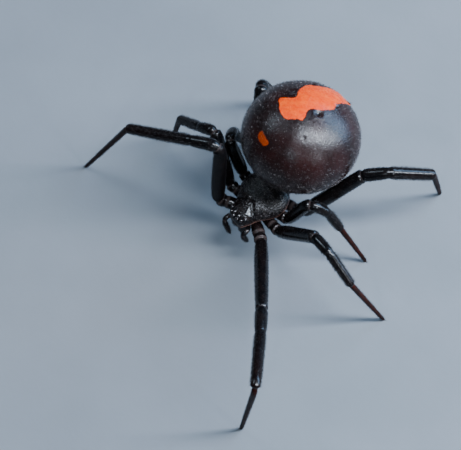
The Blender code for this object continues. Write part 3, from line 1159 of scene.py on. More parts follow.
    def setae(self, rng: np.random.Generator) -> list[Setae]:
        """Rows of setae on each segment.

        Args:
            rng: Source of the scatter.

        Returns:
            One group of setae for each segment that bears any.
        """
        groups = []
        total = self.along[-1]
        for index, look in enumerate(self.looks):
            grown = look.growth
            low = self.starts[index] + self.MARGIN
            high = min(self.starts[index + 1], total) - self.MARGIN
            if high - low < 2 * self.MARGIN:
                continue
            steps = max(int((high - low) / grown.spacing), 1)
            row, step = np.meshgrid(np.arange(grown.rows), np.arange(steps), indexing="ij")
            count = row.size
            turn = 2 * math.pi * (row.ravel() + rng.normal(0, self.TURN_SCATTER, count)) / grown.rows
            offset = (row.ravel() * self.ROW_STAGGER) % 1.0
            place = step.ravel() + offset + rng.normal(0, self.PLACE_SCATTER, count)
            spots = np.clip(low + place * grown.spacing, low, high + self.MARGIN * 0.5)
            across, over = self.read(self.across, spots), self.read(self.over, spots)
            normals = unit(across * np.cos(turn)[:, None] + over * np.sin(turn)[:, None])
            thick = np.interp(spots, self.along, self.radius)[:, None]
            roots = self.read(self.centres, spots) + normals * thick
            lie = unit(self.read(self.tangents, spots)) + rng.normal(0, self.LIE_SCATTER, (count, 3))
            length = grown.length * rng.uniform(*self.LENGTHS, count)
            rise = np.radians(grown.rise + rng.normal(0, self.RISE_SCATTER, count))
            unwrap = np.stack([spots / total, (turn / (2 * math.pi)) % 1.0], -1)
            values = tones(rng, count, PALE_FEW)
            groups.append(Setae(roots, normals, lie, length, grown.radius, rise, unwrap, values))
        return groups


def coat(groups: Sequence[Setae]) -> Surface:
    """Groups of setae as one surface."""
    return joined([group.surface() for group in groups])


LEG_LENGTHS: dict[int, tuple[float, ...]] = {
    1: (6.8, 2.0, 4.8, 6.5, 2.3),
    2: (4.7, 1.5, 2.5, 4.15, 1.55),
    3: (3.15, 1.5, 1.75, 2.9, 1.2),
    4: (5.2, 1.7, 3.2, 4.4, 1.5),
}
COXA_ROOT = {
    1: (0.80, -1.08, -0.60),
    2: (0.88, -0.38, -0.60),
    3: (0.84, 0.30, -0.62),
    4: (0.62, 0.98, -0.58),
}


LEG_RADII: dict[int, tuple[float, ...]] = {
    1: (0.42, 0.45, 0.40, 0.35),
    2: (0.38, 0.43, 0.36, 0.30),
    3: (0.38, 0.40, 0.34, 0.29),
    4: (0.38, 0.46, 0.41, 0.385),
}


@dataclass
class Leg:
    """One leg: its continuous skin, its setae and the claws on its toe.

    The stance holds the end of the trochanter on the left side, which the right side mirrors, then azimuth
    and elevation of femur, patella and tibia, and the azimuth in which the foot runs down to the floor.
    """

    side: Side
    pair: int
    hip: tuple[float, float, float]
    femur: tuple[float, float]
    patella: tuple[float, float]
    tibia: tuple[float, float]
    foot: float
    dull_segments: tuple[int, ...] = (4, 5)
    metatarsus_radius: float = 0.168
    tarsus_radius: float = 0.128
    bend_share: float = 0.8
    steepest: float = 0.995
    toe_lift: float = 0.118
    claw_length: float = 0.17
    claw_radius: float = 0.022
    claw_root: float = 0.06
    claw_splay: float = 0.35
    claw_turn: float = 1.35
    claw_fall: float = 0.25
    claw_steps: int = 9
    claw_columns: int = 8
    claw_taper: float = 0.12
    seed: int = 40

    LOOKS = (
        # The coxa's two pale rings are painted highlights on its ridges.
        SegmentLook(((0.0, 0.80), (0.3, 0.93), (0.50, 0.98), (0.62, 0.94), (0.67, 0.78), (0.72, 0.93),
                     (0.80, 1.0), (0.90, 0.98), (1.0, 0.86)), Growth(12, 0.22, 0.10), (0.08, 0.06),
                    rings=((0.585, 0.055), (0.945, 0.045))),
        SegmentLook(((0.0, 0.78), (0.08, 0.88), (0.3, 1.0), (0.65, 0.96), (0.92, 0.87), (1.0, 0.84)),
                    Growth(20, 0.16, 0.12, 34.0), (0.04, 0.0), cuff=0.05, waist=0.95),
        SegmentLook(((0.0, 0.86), (0.2, 1.0), (0.7, 0.96), (0.92, 0.90), (1.0, 0.885)),
                    Growth(18, 0.15, 0.15), cuff=0.0, waist=0.99, fold=0.04),
        SegmentLook(((0.0, 0.98), (0.1, 1.0), (0.5, 0.96), (0.9, 0.90), (1.0, 0.86)),
                    Growth(22, 0.11, 0.19, 40.0), (0.0, 0.12), cuff=0.05, waist=0.95, fold=0.12),
        SegmentLook(((0.0, 1.10), (0.07, 1.03), (0.3, 0.96), (0.7, 0.86), (1.0, 0.79)),
                    Growth(14, 0.11, 0.14, 36.0, 0.009), (0.75, 1.0), cuff=0.03, waist=0.96, fold=0.05),
        SegmentLook(((0.0, 1.0), (0.4, 0.93), (0.8, 0.80), (1.0, 0.66)), Growth(14, 0.09, 0.12, 36.0, 0.008),
                    (1.0, 0.6)),
    )
    PARTS = ("coxa", "femur", "patella", "tibia", "foot")
    CLAWS = ((-0.6, 1.0), (0.6, 1.0), (0.0, 0.75))
    FEMUR = 1
    SLIM_FEMUR_PAIR = 1
    STOUT_FEMUR: Pairs = ((0.0, 0.80), (0.08, 0.90), (0.3, 1.0), (0.65, 0.98), (0.90, 0.95), (1.0, 0.93))

    def joints(self) -> Array:
        """Places the joints of the stance.

        Returns:
            Points from the coxa's root to the toe on the floor.
        """
        ends = (COXA_ROOT[self.pair], self.hip)
        points = [HEAD.place(np.array(place) * self.side.mirror) for place in ends]
        femur, patella, tibia, metatarsus, tarsus = LEG_LENGTHS[self.pair]
        for aim, length in ((self.femur, femur), (self.patella, patella), (self.tibia, tibia)):
            points.append(points[-1] + heading(*aim) * length)
        fall = -math.degrees(math.asin(min(points[-1][2] / (metatarsus + tarsus), self.steepest)))
        down = heading(self.foot, fall)
        points.append(points[-1] + down * metatarsus)
        points.append(points[-1] + down * (points[-1][2] / -down[2]))
        return np.array(points)

    def claws(self, tube: BentTube) -> Surface:
        """Makes two side claws and a small middle one, curved down to the floor.

        Args:
            tube: The leg.

        Returns:
            The claws.
        """
        start, out = tube.centres[-1], tube.tangents[-1]
        level = unit(np.array([out[0], out[1], 0.0]))
        aside = np.cross(level, UP)
        t = np.linspace(0, 1, self.claw_steps)[:, None]
        turned = t * self.claw_turn
        hooked = level * np.sin(turned) + out * self.claw_fall * t - np.array(UP) * (1 - np.cos(turned))
        made = []
        for sideways, size in self.CLAWS:
            root = start + aside * sideways * self.claw_root
            line = root + (hooked + aside * sideways * self.claw_splay * t) * self.claw_length * size
            line[:, 2] = np.maximum(line[:, 2], self.claw_radius)
            radius = self.claw_radius * size * np.linspace(1, self.claw_taper, self.claw_steps)
            made.append(tapered(line, radius, self.claw_columns))
        return joined(made)

    def build(self, wardrobe: Wardrobe) -> None:
        """Makes the leg's pieces.

        Args:
            wardrobe: The materials.
        """
        radii = (*LEG_RADII[self.pair], self.metatarsus_radius, self.tarsus_radius)
        bend_radii = {k + 1: radius * self.bend_share for k, radius in enumerate(LEG_RADII[self.pair])}
        looks = list(self.LOOKS)
        if self.pair != self.SLIM_FEMUR_PAIR:
            looks[self.FEMUR] = replace(looks[self.FEMUR], outline=self.STOUT_FEMUR)
        tube = BentTube(self.joints(), radii, looks, bend_radii, tip_lift=self.toe_lift)
        name = f"leg_{self.side.word}_{self.pair}"
        skin = tube.skin().build(f"{name}_skin", wardrobe.shell, Slot.SHELL, wardrobe.shin,
                                 self.dull_segments)
        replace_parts(skin, *[f"{name}_{part}" for part in self.PARTS])
        rng = np.random.default_rng(self.seed + self.pair * 2 + int(self.side is Side.LEFT))
        coat(tube.setae(rng)).build(f"{name}_setae", wardrobe.dark_setae, Slot.BROWN)
        self.claws(tube).build(f"{name}_claws", wardrobe.claw, Slot.BROWN)


TUBE_POINT = 0.4


def tapered(line: Array, radius: Array, columns: int) -> Surface:
    """Round tube along a line.

    Args:
        line: Its centreline.
        radius: Its radius at each point of the line.
        columns: Points in a ring.

    Returns:
        The closed tube.
    """
    tangents = unit(np.gradient(line, axis=0))
    side = square_to(tangents[0])
    turns = np.linspace(0, 2 * math.pi, columns, endpoint=False)
    rings = []
    for centre, tangent, thick in zip(line, tangents, radius):
        side = unit(side - tangent * (side @ tangent))
        over = np.cross(tangent, side)
        rings.append([centre + (side * math.cos(t) + over * math.sin(t)) * thick for t in turns])
    return lofted(np.array(rings), line[0], line[-1] + tangents[-1] * radius[-1] * TUBE_POINT)


def plain_shell(surface: Surface, name: str, tint: float, wardrobe: Wardrobe) -> bpy.types.Object:
    """Makes a piece of cuticle of one tint, with no fold and no painted highlight.

    Args:
        surface: The piece's shape.
        name: Its name.
        tint: How red-brown it is, from 0 to 1.
        wardrobe: The materials.

    Returns:
        The new object.
    """
    for key, number in (("tint", tint), ("membrane", 0.0)):
        surface.values[key] = np.full(len(surface.points), number)
    return surface.build(name, wardrobe.shell, Slot.SHELL)


@dataclass(frozen=True)
class Sowing:
    """Setae round a cone: count, reach along it, length and its spread, thickness, rise and scatter."""

    count: int
    reach: tuple[float, float]
    length: float
    lengths: tuple[float, float]
    radius: float
    rise: tuple[float, float]
    scatter: float = 0.0


@dataclass(frozen=True)
class Cone:
    """Straight tapering piece that bears setae: a jaw or a spinning cone."""

    start: Array
    aim: Array
    side: Array
    length: float
    radius: float
    outline: Pairs

    def skin(self, rows: int, columns: int) -> Surface:
        """The piece's closed skin."""
        t = np.linspace(0, 1, rows)
        line = self.start + self.aim * self.length * t[:, None]
        return tapered(line, self.radius * outline(self.outline, t), columns)

    def setae(self, rng: np.random.Generator, sown: Sowing) -> Setae:
        """Sows setae that lie towards the tip.

        Args:
            rng: Source of the scatter.
            sown: How they stand.

        Returns:
            The setae.
        """
        count = sown.count
        place = rng.uniform(*sown.reach, count)
        turn = rng.uniform(0, 2 * math.pi, count)
        over = np.cross(self.aim, self.side)
        normals = self.side * np.cos(turn)[:, None] + over * np.sin(turn)[:, None]
        thick = self.radius * outline(self.outline, place)
        roots = self.start + self.aim * self.length * place[:, None] + normals * thick[:, None]
        lie = np.tile(self.aim, (count, 1))
        if sown.scatter:
            lie = lie + rng.normal(0, sown.scatter, (count, 3))
        values = tones(rng, count)
        length = sown.length * rng.uniform(*sown.lengths, count)
        rise = np.radians(rng.normal(*sown.rise, count))
        unwrap = np.stack([place, turn / (2 * math.pi)], -1)
        return Setae(roots, normals, lie, length, sown.radius, rise, unwrap, values)


def lobes(x: Array, y: Array) -> Array:
    """Gentle unevenness of the globe, between -1.6 and 1.6, from waves of two sizes."""
    return np.sin(x * 1.7 + 0.6) * np.sin(y * 1.4 + 1.1) + 0.6 * np.sin(x * 3.1 + y * 2.3 + 2.0)


@dataclass
class Abdomen:
    """Globe of the abdomen with its markings, its muscle pits and its short pale setae."""

    half: tuple[float, float, float] = (3.75, 3.8, 3.2)
    inset: float = 0.045
    rows: int = 230
    columns: int = 320
    roll: float = 0.13
    stripe_left: Pairs = ((-1.70, 0.0), (-1.6, 0.30), (-1.3, 0.57), (-0.9, 0.98), (-0.46, 0.68),
                          (-0.22, 0.60), (0.4, 1.04), (1.2, 1.27), (1.6, 1.12), (2.0, 0.93), (2.5, 0.88),
                          (3.0, 0.82), (3.4, 0.62), (3.8, 0.26))
    stripe_right: Pairs = ((-1.70, 0.0), (-1.6, 0.42), (-1.3, 0.88), (-0.9, 1.31), (-0.46, 0.80),
                           (-0.2, 0.63), (0.4, 1.04), (1.2, 1.20), (1.6, 1.0), (2.0, 0.74), (2.5, 0.62),
                           (3.0, 0.52), (3.4, 0.40), (3.8, 0.22))
    stripe_front: float = -1.68
    stripe_lowest: float = -0.3
    dash: tuple[tuple[float, float], tuple[float, float]] = ((-0.40, 2.03), (0.10, 1.97))
    dash_half: float = 0.235
    front_slope: float = 1.2
    hourglass: Pairs = ((-0.9, 0.30), (-0.55, 0.46), (0.1, 0.14), (0.85, 0.44), (1.25, 0.26))
    hourglass_ends: tuple[float, float] = (-0.9, 1.25)
    pits: tuple[tuple[float, float, float], ...] = (
        (1.80, -1.52, 0.085), (1.17, 0.15, 0.17), (1.10, 1.70, 0.13))
    pit_steepness: float = 0.62
    pit_lip: float = 0.12
    lip_place: float = 1.9
    lip_half: float = 0.6
    # Width of the painted shade in each pit, as a share of the pit's width.
    pit_shade: float = 0.8
    widest_plain_pit: float = 0.1
    lung: tuple[float, float] = (1.15, -2.35)
    lung_half: tuple[float, float] = (0.75, 0.5)
    lung_height: float = 0.05
    furrow_place: float = -1.7
    furrow_bow: float = 0.12
    furrow_half: float = 0.10
    furrow_ends: tuple[float, float] = (2.3, 1.7)
    furrow_depth: float = 0.07
    lobe_height: float = 0.012
    waist_drop: float = 1.9
    waist_radius: float = 0.9
    waist_folds: float = 9.0
    waist_height: float = 0.03
    setae_count: int = 15000
    seta_length: float = 0.11
    seta_lengths: tuple[float, float] = (0.65, 1.25)
    seta_radius: float = 0.0055
    seta_rise: tuple[float, float] = (58.0, 11.0)
    lie_scatter: float = 0.28
    seed: int = 11

    def relief(self, local: Array) -> Array:
        """Height of the skin over the plain globe.

        Args:
            local: Points in the abdomen's own frame.

        Returns:
            Heights in millimetres.
        """
        x = local[:, 0] + self.roll * local[:, 2]
        y, z = local[:, 1], local[:, 2]
        height = np.zeros(len(local))
        for side in Side:
            for pit_x, pit_y, wide in self.pits:
                away = np.hypot(x - side.value * pit_x, y - pit_y)
                height -= self.pit_steepness * wide * bump(away, wide) * (z > 0)
                if wide > self.widest_plain_pit:
                    lip = bump(away - self.lip_place * wide, self.lip_half * wide)
                    height += self.pit_lip * wide * lip * (z > 0)
            aside = (x - side.value * self.lung[0]) / self.lung_half[0]
            lung = bump(np.hypot(aside, (y - self.lung[1]) / self.lung_half[1]), 1.0)
            height += self.lung_height * lung * (z < 0)
        furrow = bump(y - self.furrow_place + self.furrow_bow * x * x, self.furrow_half)
        height -= self.furrow_depth * furrow * ease(*self.furrow_ends, np.abs(x)) * (z < 0)
        height += self.lobe_height * lobes(x, y)
        waist = np.hypot(x, z + self.waist_drop) / self.waist_radius
        height += self.waist_height * np.cos(waist * self.waist_folds) * bump(waist, 1.0) * (y < 0)
        return height

    def point(self, sphere: Array) -> tuple[Array, Array]:
        """Skin at directions on the unit sphere, in the abdomen's own frame.

        Args:
            sphere: The directions.

        Returns:
            The skin's points and the plain globe's outward normals there.
        """
        half = np.array(self.half) - self.inset
        local = sphere * half
        normals = unit(local / half**2)
        return local + normals * self.relief(local)[:, None], normals

    def markings(self, local: Array) -> dict[str, Array]:
        """How far inside each marking points of the skin are.

        Args:
            local: Points in the abdomen's own frame.

        Returns:
            Signed distances in millimetres, mark for the bright markings and dash for the dull one, and how
            much painted shade of a muscle pit covers them, from 0 to 1.
        """
        x = local[:, 0] + self.roll * local[:, 2]
        y, z = local[:, 1], local[:, 2]
        left = outline(self.stripe_left, y) - x
        right = outline(self.stripe_right, y) + x
        stripe = np.minimum.reduce([left, right, y - self.stripe_front, z - self.stripe_lowest])
        front_end, rear_end = self.hourglass_ends
        inside = outline(self.hourglass, y) - np.abs(local[:, 0])
        under = np.minimum.reduce([inside, y - front_end, rear_end - y, -z])
        away = distance_to_path(np.stack([x, z * self.front_slope], -1), np.array(self.dash))
        front = np.minimum(self.dash_half - away, -y)
        # Painted shade in the muscle pits on the upper side.
        spots = [bump(np.hypot(x - side.value * pit_x, y - pit_y), self.pit_shade * wide)
                 for side in Side for pit_x, pit_y, wide in self.pits]
        return {"mark": np.maximum(stripe, under), "dash": front, "pit": np.maximum.reduce(spots) * (z > 0)}

    def skin(self) -> Surface:
        """Wraps the globe.

        Returns:
            Its skin with the markings.
        """
        polar = np.linspace(0, math.pi, self.rows + 2)[1:-1]
        around = np.linspace(0, 2 * math.pi, self.columns, endpoint=False)
        girth = np.sin(polar)[:, None]
        level = np.broadcast_to(-np.cos(polar)[:, None], (self.rows, self.columns))
        sphere = np.stack([girth * np.cos(around), level, girth * np.sin(around)], -1).reshape(-1, 3)
        poles = np.array([[0.0, -1.0, 0.0], [0.0, 1.0, 0.0]])
        local, _ = self.point(np.concatenate([sphere, poles]))
        values = self.markings(local)
        rings = GLOBE.place(local[:-2]).reshape(self.rows, self.columns, 3)
        surface = lofted(rings, *GLOBE.place(local[-2:]))
        surface.values.update(values)
        return surface

    def setae(self, rng: np.random.Generator) -> Setae:
        """Sows short setae all over the globe, lying back towards the spinnerets.

        Args:
            rng: Source of the scatter.

        Returns:
            The setae.
        """
        count = self.setae_count
        sphere = unit(rng.normal(0, 1, (count, 3)))
        local, normals = self.point(sphere)
        lie = np.array([0.0, 1.0, 0.0]) + rng.normal(0, self.lie_scatter, (count, 3))
        length = self.seta_length * rng.uniform(*self.seta_lengths, count)
        rise = np.radians(rng.normal(*self.seta_rise, count))
        unwrap = np.stack([np.arctan2(sphere[:, 2], sphere[:, 0]) / (2 * math.pi) % 1.0,
                           np.arccos(np.clip(-sphere[:, 1], -1, 1)) / math.pi], -1)
        values = tones(rng, count, PALE_FEW, self.markings(local)["mark"])
        return Setae(GLOBE.place(local), GLOBE.aim(normals), GLOBE.aim(lie), length, self.seta_radius, rise,
                     unwrap, values)

    def build(self, wardrobe: Wardrobe) -> None:
        """Makes the abdomen's pieces.

        Args:
            wardrobe: The materials.
        """
        skin = self.skin().build("abdomen_skin", wardrobe.abdomen, Slot.ABDOMEN)
        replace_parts(skin, "abdomen")
        rng = np.random.default_rng(self.seed)
        self.setae(rng).surface().build("abdomen_setae", wardrobe.pale_setae, Slot.ABDOMEN)


@dataclass
class Carapace:
    """Domed shield of the head and chest, with its pit, grooves, rim and the swellings under the eyes."""

    length: float = 4.0
    width: float = 3.4
    lip: float = 0.13
    width_curve: tuple[float, ...] = (0.36, 0.50, 0.60, 0.79, 0.96, 1.0, 0.93, 0.72, 0.30)
    height_curve: tuple[float, ...] = (0.42, 0.80, 0.98, 1.02, 0.93, 0.84, 0.76, 0.56, 0.22)
    rows: int = 150
    columns: int = 176
    inset: float = 0.01
    fovea: tuple[float, float] = (0.0, -0.36)
    fovea_half: tuple[float, float] = (0.14, 0.22)
    fovea_depth: float = 0.09
    groove: tuple[tuple[float, float], ...] = ((0.10, -0.42), (0.48, -0.74), (0.87, -1.08), (1.06, -1.34))
    groove_half: float = 0.075
    groove_depth: float = 0.06
    striae: tuple[tuple[float, float], ...] = ((1.35, -0.62), (1.62, 0.02), (1.55, 0.72), (1.0, 1.45))
    stria_start: tuple[float, float] = (0.22, -0.26)
    stria_share: float = 0.86
    stria_half: float = 0.07
    stria_depth: float = 0.012
    groove_fade: tuple[float, float] = (0.02, 0.2)
    swelling: float = 0.035
    swelling_half: float = 0.13
    swelling_fade: tuple[float, float] = (-1.1, -1.5)
    hem: float = 0.035
    hem_half: float = 0.06
    rim_half: float = 0.055
    wedge: tuple[tuple[float, float], tuple[float, float]] = ((0.19, -0.38), (0.69, -1.22))
    wedge_half: tuple[float, float] = (0.07, 0.32)
    wedge_fade: tuple[float, float] = (1.3, 0.95)
    wedge_start_fade: tuple[float, float] = (-0.2, 0.0)
    wedge_end_fade: tuple[float, float] = (1.2, 1.0)
    facet_middle: tuple[float, float, float] = (0.50, -0.90, 0.877)
    facet_normal: tuple[float, float, float] = (0.43, -0.246, 0.864)
    facet_depth: float = 0.10
    setae_count: int = 2400
    seta_length: float = 0.105
    seta_lengths: tuple[float, float] = (0.6, 1.3)
    seta_radius: float = 0.0085
    seta_rise: tuple[float, float] = (30.0, 8.0)
    seta_places: tuple[float, float] = (0.0009, 0.92)
    seta_margin: float = 0.1
    lie_height: float = 0.4
    lie_scatter: float = 0.25
    seed: int = 23

    EYES = (("front_inner", 0.16, 0.50), ("front_outer", 0.46, 0.46), ("rear_inner", 0.20, 0.66),
            ("rear_outer", 0.60, 0.54))
    FACE_STEPS = 200
    FACE_REACH = 0.45
    CAP_SHARES = (0.15, 0.35, 0.55, 0.72, 0.86, 0.95)
    CAP_REACH = (-0.07, 0.05)
    PALE_POWER = 6
    INSIDE = (0.0, 0.0, 0.2)
    SLOPE_STEP = 0.004

    def section(self, place: Array, turn: Array) -> Array:
        """Points of the plain shield in the head's frame.

        Args:
            place: How far back each is, from 0 to 1.
            turn: Where it is round its section, in radians.

        Returns:
            The points.
        """
        half = self.width / 2 * curve(self.width_curve, place) - self.inset
        height = curve(self.height_curve, place) - self.inset
        across, up = np.cos(turn), np.sin(turn)
        z = np.where(up >= 0, height * up, -self.lip * np.sqrt(np.abs(up)))
        return np.stack([half * across, self.length * (place - 0.5) + 0 * turn, z], -1)

    def relief(self, local: Array) -> Array:
        """Height of the skin over the plain shield.

        Args:
            local: Points in the head's frame.

        Returns:
            Heights in millimetres.
        """
        y, z = local[:, 1], local[:, 2]
        mirrored = np.stack([np.abs(local[:, 0]), y, z], -1)
        flat = mirrored[:, :2]
        pit = (local[:, :2] - np.array(self.fovea)) / np.array(self.fovea_half)
        height = -self.fovea_depth * bump(np.hypot(pit[:, 0], pit[:, 1]), 1.0)
        top = ease(*self.groove_fade, z)
        cut = bump(distance_to_path(flat, np.array(self.groove)), self.groove_half)
        height -= self.groove_depth * cut * top
        for end in self.striae:
            line = np.array([self.stria_start, np.array(end) * self.stria_share])
            height -= self.stria_depth * bump(distance_to_path(flat, line), self.stria_half) * top
        for _, eye_x, eye_z in self.EYES:
            away = np.hypot(mirrored[:, 0] - eye_x, z - eye_z)
            height += self.swelling * bump(away, self.swelling_half) * ease(*self.swelling_fade, y)
        height += self.hem * bump(z, self.hem_half)
        proud = (mirrored - np.array(self.facet_middle)) @ np.array(self.facet_normal) + self.facet_depth
        height -= np.maximum(proud, 0.0) * self.polish(local)
        return height

    def rim(self, local: Array) -> Array:
        """How much of the warm rim colour shows at points of the head's frame."""
        return bump(local[:, 2], self.rim_half)

    def polish(self, local: Array) -> Array:
        """How smooth the cuticle is, which it is on the two facets beside the head.

        Args:
            local: Points in the head's frame.

        Returns:
            Shares from 0 to 1.
        """
        start, end = np.array(self.wedge)
        run = end - start
        mirrored = np.stack([np.abs(local[:, 0]), local[:, 1]], -1)
        t = ((mirrored - start) @ run) / (run @ run)
        away = np.linalg.norm(mirrored - start - t[:, None] * run, axis=1)
        half = self.wedge_half[0] + (self.wedge_half[1] - self.wedge_half[0]) * np.clip(t, 0, 1)
        faded = ease(*self.wedge_fade, away / half) * ease(*self.wedge_start_fade, t)
        return faded * ease(*self.wedge_end_fade, t) * (local[:, 2] > 0)

    def face(self, x: float, z: float) -> float:
        """Y of the shield's front, in the head's frame.

        Args:
            x: How far aside to look.
            z: How high to look.

        Returns:
            The front's y there.
        """
        for i in range(self.FACE_STEPS):
            place = self.FACE_REACH * i / self.FACE_STEPS
            half = self.width / 2 * float(curve(self.width_curve, np.array(place)))
            height = float(curve(self.height_curve, np.array(place)))
            if (x / half) ** 2 + (z / height) ** 2 <= 1.0:
                return self.length * (place - 0.5)
        return 0.0

    def face_normal(self, x: float, z: float, step: float = 0.03) -> Array:
        """Outward normal of the shield's front, in the head's frame."""
        slope_x = (self.face(x + step, z) - self.face(x - step, z)) / (2 * step)
        slope_z = (self.face(x, z + step) - self.face(x, z - step)) / (2 * step)
        return unit(np.array([slope_x, -1.0, slope_z]))

    def grid(self) -> Array:
        """Lays out the shield with rounded ends.

        Returns:
            Its rings in the head's frame.
        """
        turn = np.linspace(0, 2 * math.pi, self.columns, endpoint=False)
        place = np.linspace(0, 1, self.rows)
        rings = self.section(place[:, None], np.broadcast_to(turn, (self.rows, self.columns)))
        shares = np.array(self.CAP_SHARES)
        ends = []
        for ring, out, order in zip((rings[0], rings[-1]), self.CAP_REACH, (shares, shares[::-1])):
            middle = ring.mean(0)
            cap = middle + (ring - middle) * order[:, None, None]
            cap[..., 1] += out * np.sqrt(1 - order**2)[:, None]
            ends.append(cap)
        return np.concatenate([ends[0], rings, ends[1]])

    def skin(self) -> Surface:
        """Wraps the shield.

        Returns:
            Its skin with the grooves, the facets and the rim.
        """
        rings = self.grid()
        normals = ring_normals(rings, np.array(self.INSIDE))
        flat = rings.reshape(-1, 3)
        raised = flat + normals.reshape(-1, 3) * self.relief(flat)[:, None]
        surface = lofted(HEAD.place(raised).reshape(rings.shape))
        for key, values in (("rim", self.rim(flat)), ("polish", self.polish(flat))):
            surface.values[key] = np.concatenate([values, [0.0, 0.0]])
        return surface

    def setae(self, rng: np.random.Generator) -> Setae:
        """Sows fine setae on the dome, lying forward on the head and outward on the chest.

        Args:
            rng: Source of the scatter.

        Returns:
            The setae.
        """
        count = self.setae_count
        place = np.sqrt(rng.uniform(*self.seta_places, count))
        turn = rng.uniform(self.seta_margin, math.pi - self.seta_margin, count)
        step = self.SLOPE_STEP
        here = self.section(place, turn)
        along = self.section(place + step, turn) - here
        around = self.section(place, turn + step) - here
        normals = unit(np.cross(around, along))
        normals *= np.sign(np.einsum("ij,ij->i", normals, here))[:, None]
        roots = here + normals * self.relief(here)[:, None]
        centre = np.array([*self.fovea, self.lie_height])
        lie = unit(here - centre) + rng.normal(0, self.lie_scatter, (count, 3))
        length = self.seta_length * rng.uniform(*self.seta_lengths, count)
        rise = np.radians(rng.normal(*self.seta_rise, count))
        unwrap = np.stack([place, turn / (2 * math.pi)], -1)
        values = tones(rng, count, self.PALE_POWER)
        return Setae(HEAD.place(roots), HEAD.aim(normals), HEAD.aim(lie), length, self.seta_radius, rise,
                     unwrap, values)

    def build(self, wardrobe: Wardrobe) -> None:
        """Makes the shield's pieces.

        Args:
            wardrobe: The materials.
        """
        skin = self.skin().build("carapace_skin", wardrobe.carapace, Slot.CARAPACE)
        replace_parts(skin, "carapace")
        rng = np.random.default_rng(self.seed)
        self.setae(rng).surface().build("carapace_setae", wardrobe.pale_setae, Slot.CARAPACE)


@dataclass
class Eyes:
    """Eight glassy domes in two rows, each in a low dark socket ring."""

    shield: Carapace
    radius: float = 0.134
    bulge: float = 0.122
    standoff: float = 0.015
    socket: float = 0.026
    socket_gap: float = 0.012
    socket_columns: int = 8
    rows: int = 22
    columns: int = 32

    def build(self, wardrobe: Wardrobe) -> None:
        """Makes an eye and its socket at each place on the shield's front.

        Args:
            wardrobe: The materials.
        """
        sockets = []
        for name, x, z in self.shield.EYES:
            for side in Side:
                normal = self.shield.face_normal(x, z) * side.mirror
                seat = np.array([x * side.value, self.shield.face(x, z), z]) + normal * self.standoff
                across = unit(np.cross(normal, UP))
                axes = HEAD.aim(np.stack([across, np.cross(normal, across), normal]))
                centre = HEAD.place(seat)
                dome = rounded(centre, axes, (self.radius, self.radius, self.bulge), self.rows, self.columns)
                eye = dome.build(f"eye_{side.word}_{name}_lens", wardrobe.eye, Slot.EYE)
                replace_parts(eye, f"eye_{side.word}_{name}")
                turns = np.linspace(0, 2 * math.pi, self.columns + 1)[:, None]
                spoke = axes[0] * np.cos(turns) + axes[1] * np.sin(turns)
                ring = centre + spoke * (self.radius + self.socket_gap)
                thick = np.full(self.columns + 1, self.socket)
                sockets.append(tapered(ring, thick, self.socket_columns))
        joined(sockets).build("eye_sockets", wardrobe.shin, Slot.CARAPACE)


@dataclass
class Jaws:
    """The two jaws under the face, each with a curved fang."""

    length: float = 1.05
    radius: float = 0.27
    root: tuple[float, float, float] = (0.31, -1.72, -0.02)
    lean: float = 12.0
    top_gap: float = 0.18
    rows: int = 48
    columns: int = 36
    tint: float = 0.25
    fang_length: float = 0.5
    fang_radius: float = 0.12
    fang_tip: float = 0.012
    fang_taper: float = 0.7
    fang_root: float = 0.02
    fang_aim: tuple[float, float, float] = (-0.5, 0.75, -0.45)
    fang_rows: int = 22
    fang_columns: int = 18
    outline: Pairs = ((0.0, 0.72), (0.12, 0.95), (0.3, 1.0), (0.6, 0.93), (0.85, 0.78), (0.96, 0.62),
                      (1.0, 0.42))
    setae: Sowing = Sowing(420, (0.1, 0.97), 0.14, (0.6, 1.3), 0.009, (40.0, 8.0), 0.2)
    seed: int = 31

    def build(self, wardrobe: Wardrobe) -> None:
        """Makes both jaws, their setae and their fangs.

        Args:
            wardrobe: The materials.
        """
        lean = math.radians(self.lean)
        down = HEAD.aim(np.array([0.0, -math.sin(lean), -math.cos(lean)]))
        rng = np.random.default_rng(self.seed)
        for side in Side:
            top = HEAD.place(np.array(self.root) * side.mirror) - HEAD.turn[:, 2] * self.top_gap
            jaw = Cone(top, down, HEAD.turn[:, 0], self.length, self.radius, self.outline)
            name = f"jaw_{side.word}"
            shape = jaw.skin(self.rows, self.columns)
            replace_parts(plain_shell(shape, f"{name}_skin", self.tint, wardrobe), name)
            jaw.setae(rng, self.setae).surface().build(f"{name}_setae", wardrobe.dark_setae, Slot.BROWN)
            horn = self.fang(top, down, side).build(f"fang_{side.word}_horn", wardrobe.fang, Slot.FANG)
            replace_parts(horn, f"fang_{side.word}")

    def fang(self, top: Array, down: Array, side: Side) -> Surface:
        """Curves one fang inward from the end of its jaw.

        Args:
            top: The jaw's root.
            down: The jaw's direction.
            side: The jaw's side.

        Returns:
            The fang.
        """
        inward = unit(HEAD.aim(np.array(self.fang_aim) * side.mirror))
        start = top + down * (self.length - self.fang_root)
        t = np.linspace(0, 1, self.fang_rows)
        aims = unit(down * (1 - t[:, None]) + inward * t[:, None])
        radius = self.fang_radius * (1 - t) ** self.fang_taper + self.fang_tip
        return tapered(start + aims * self.fang_length * t[:, None], radius, self.fang_columns)


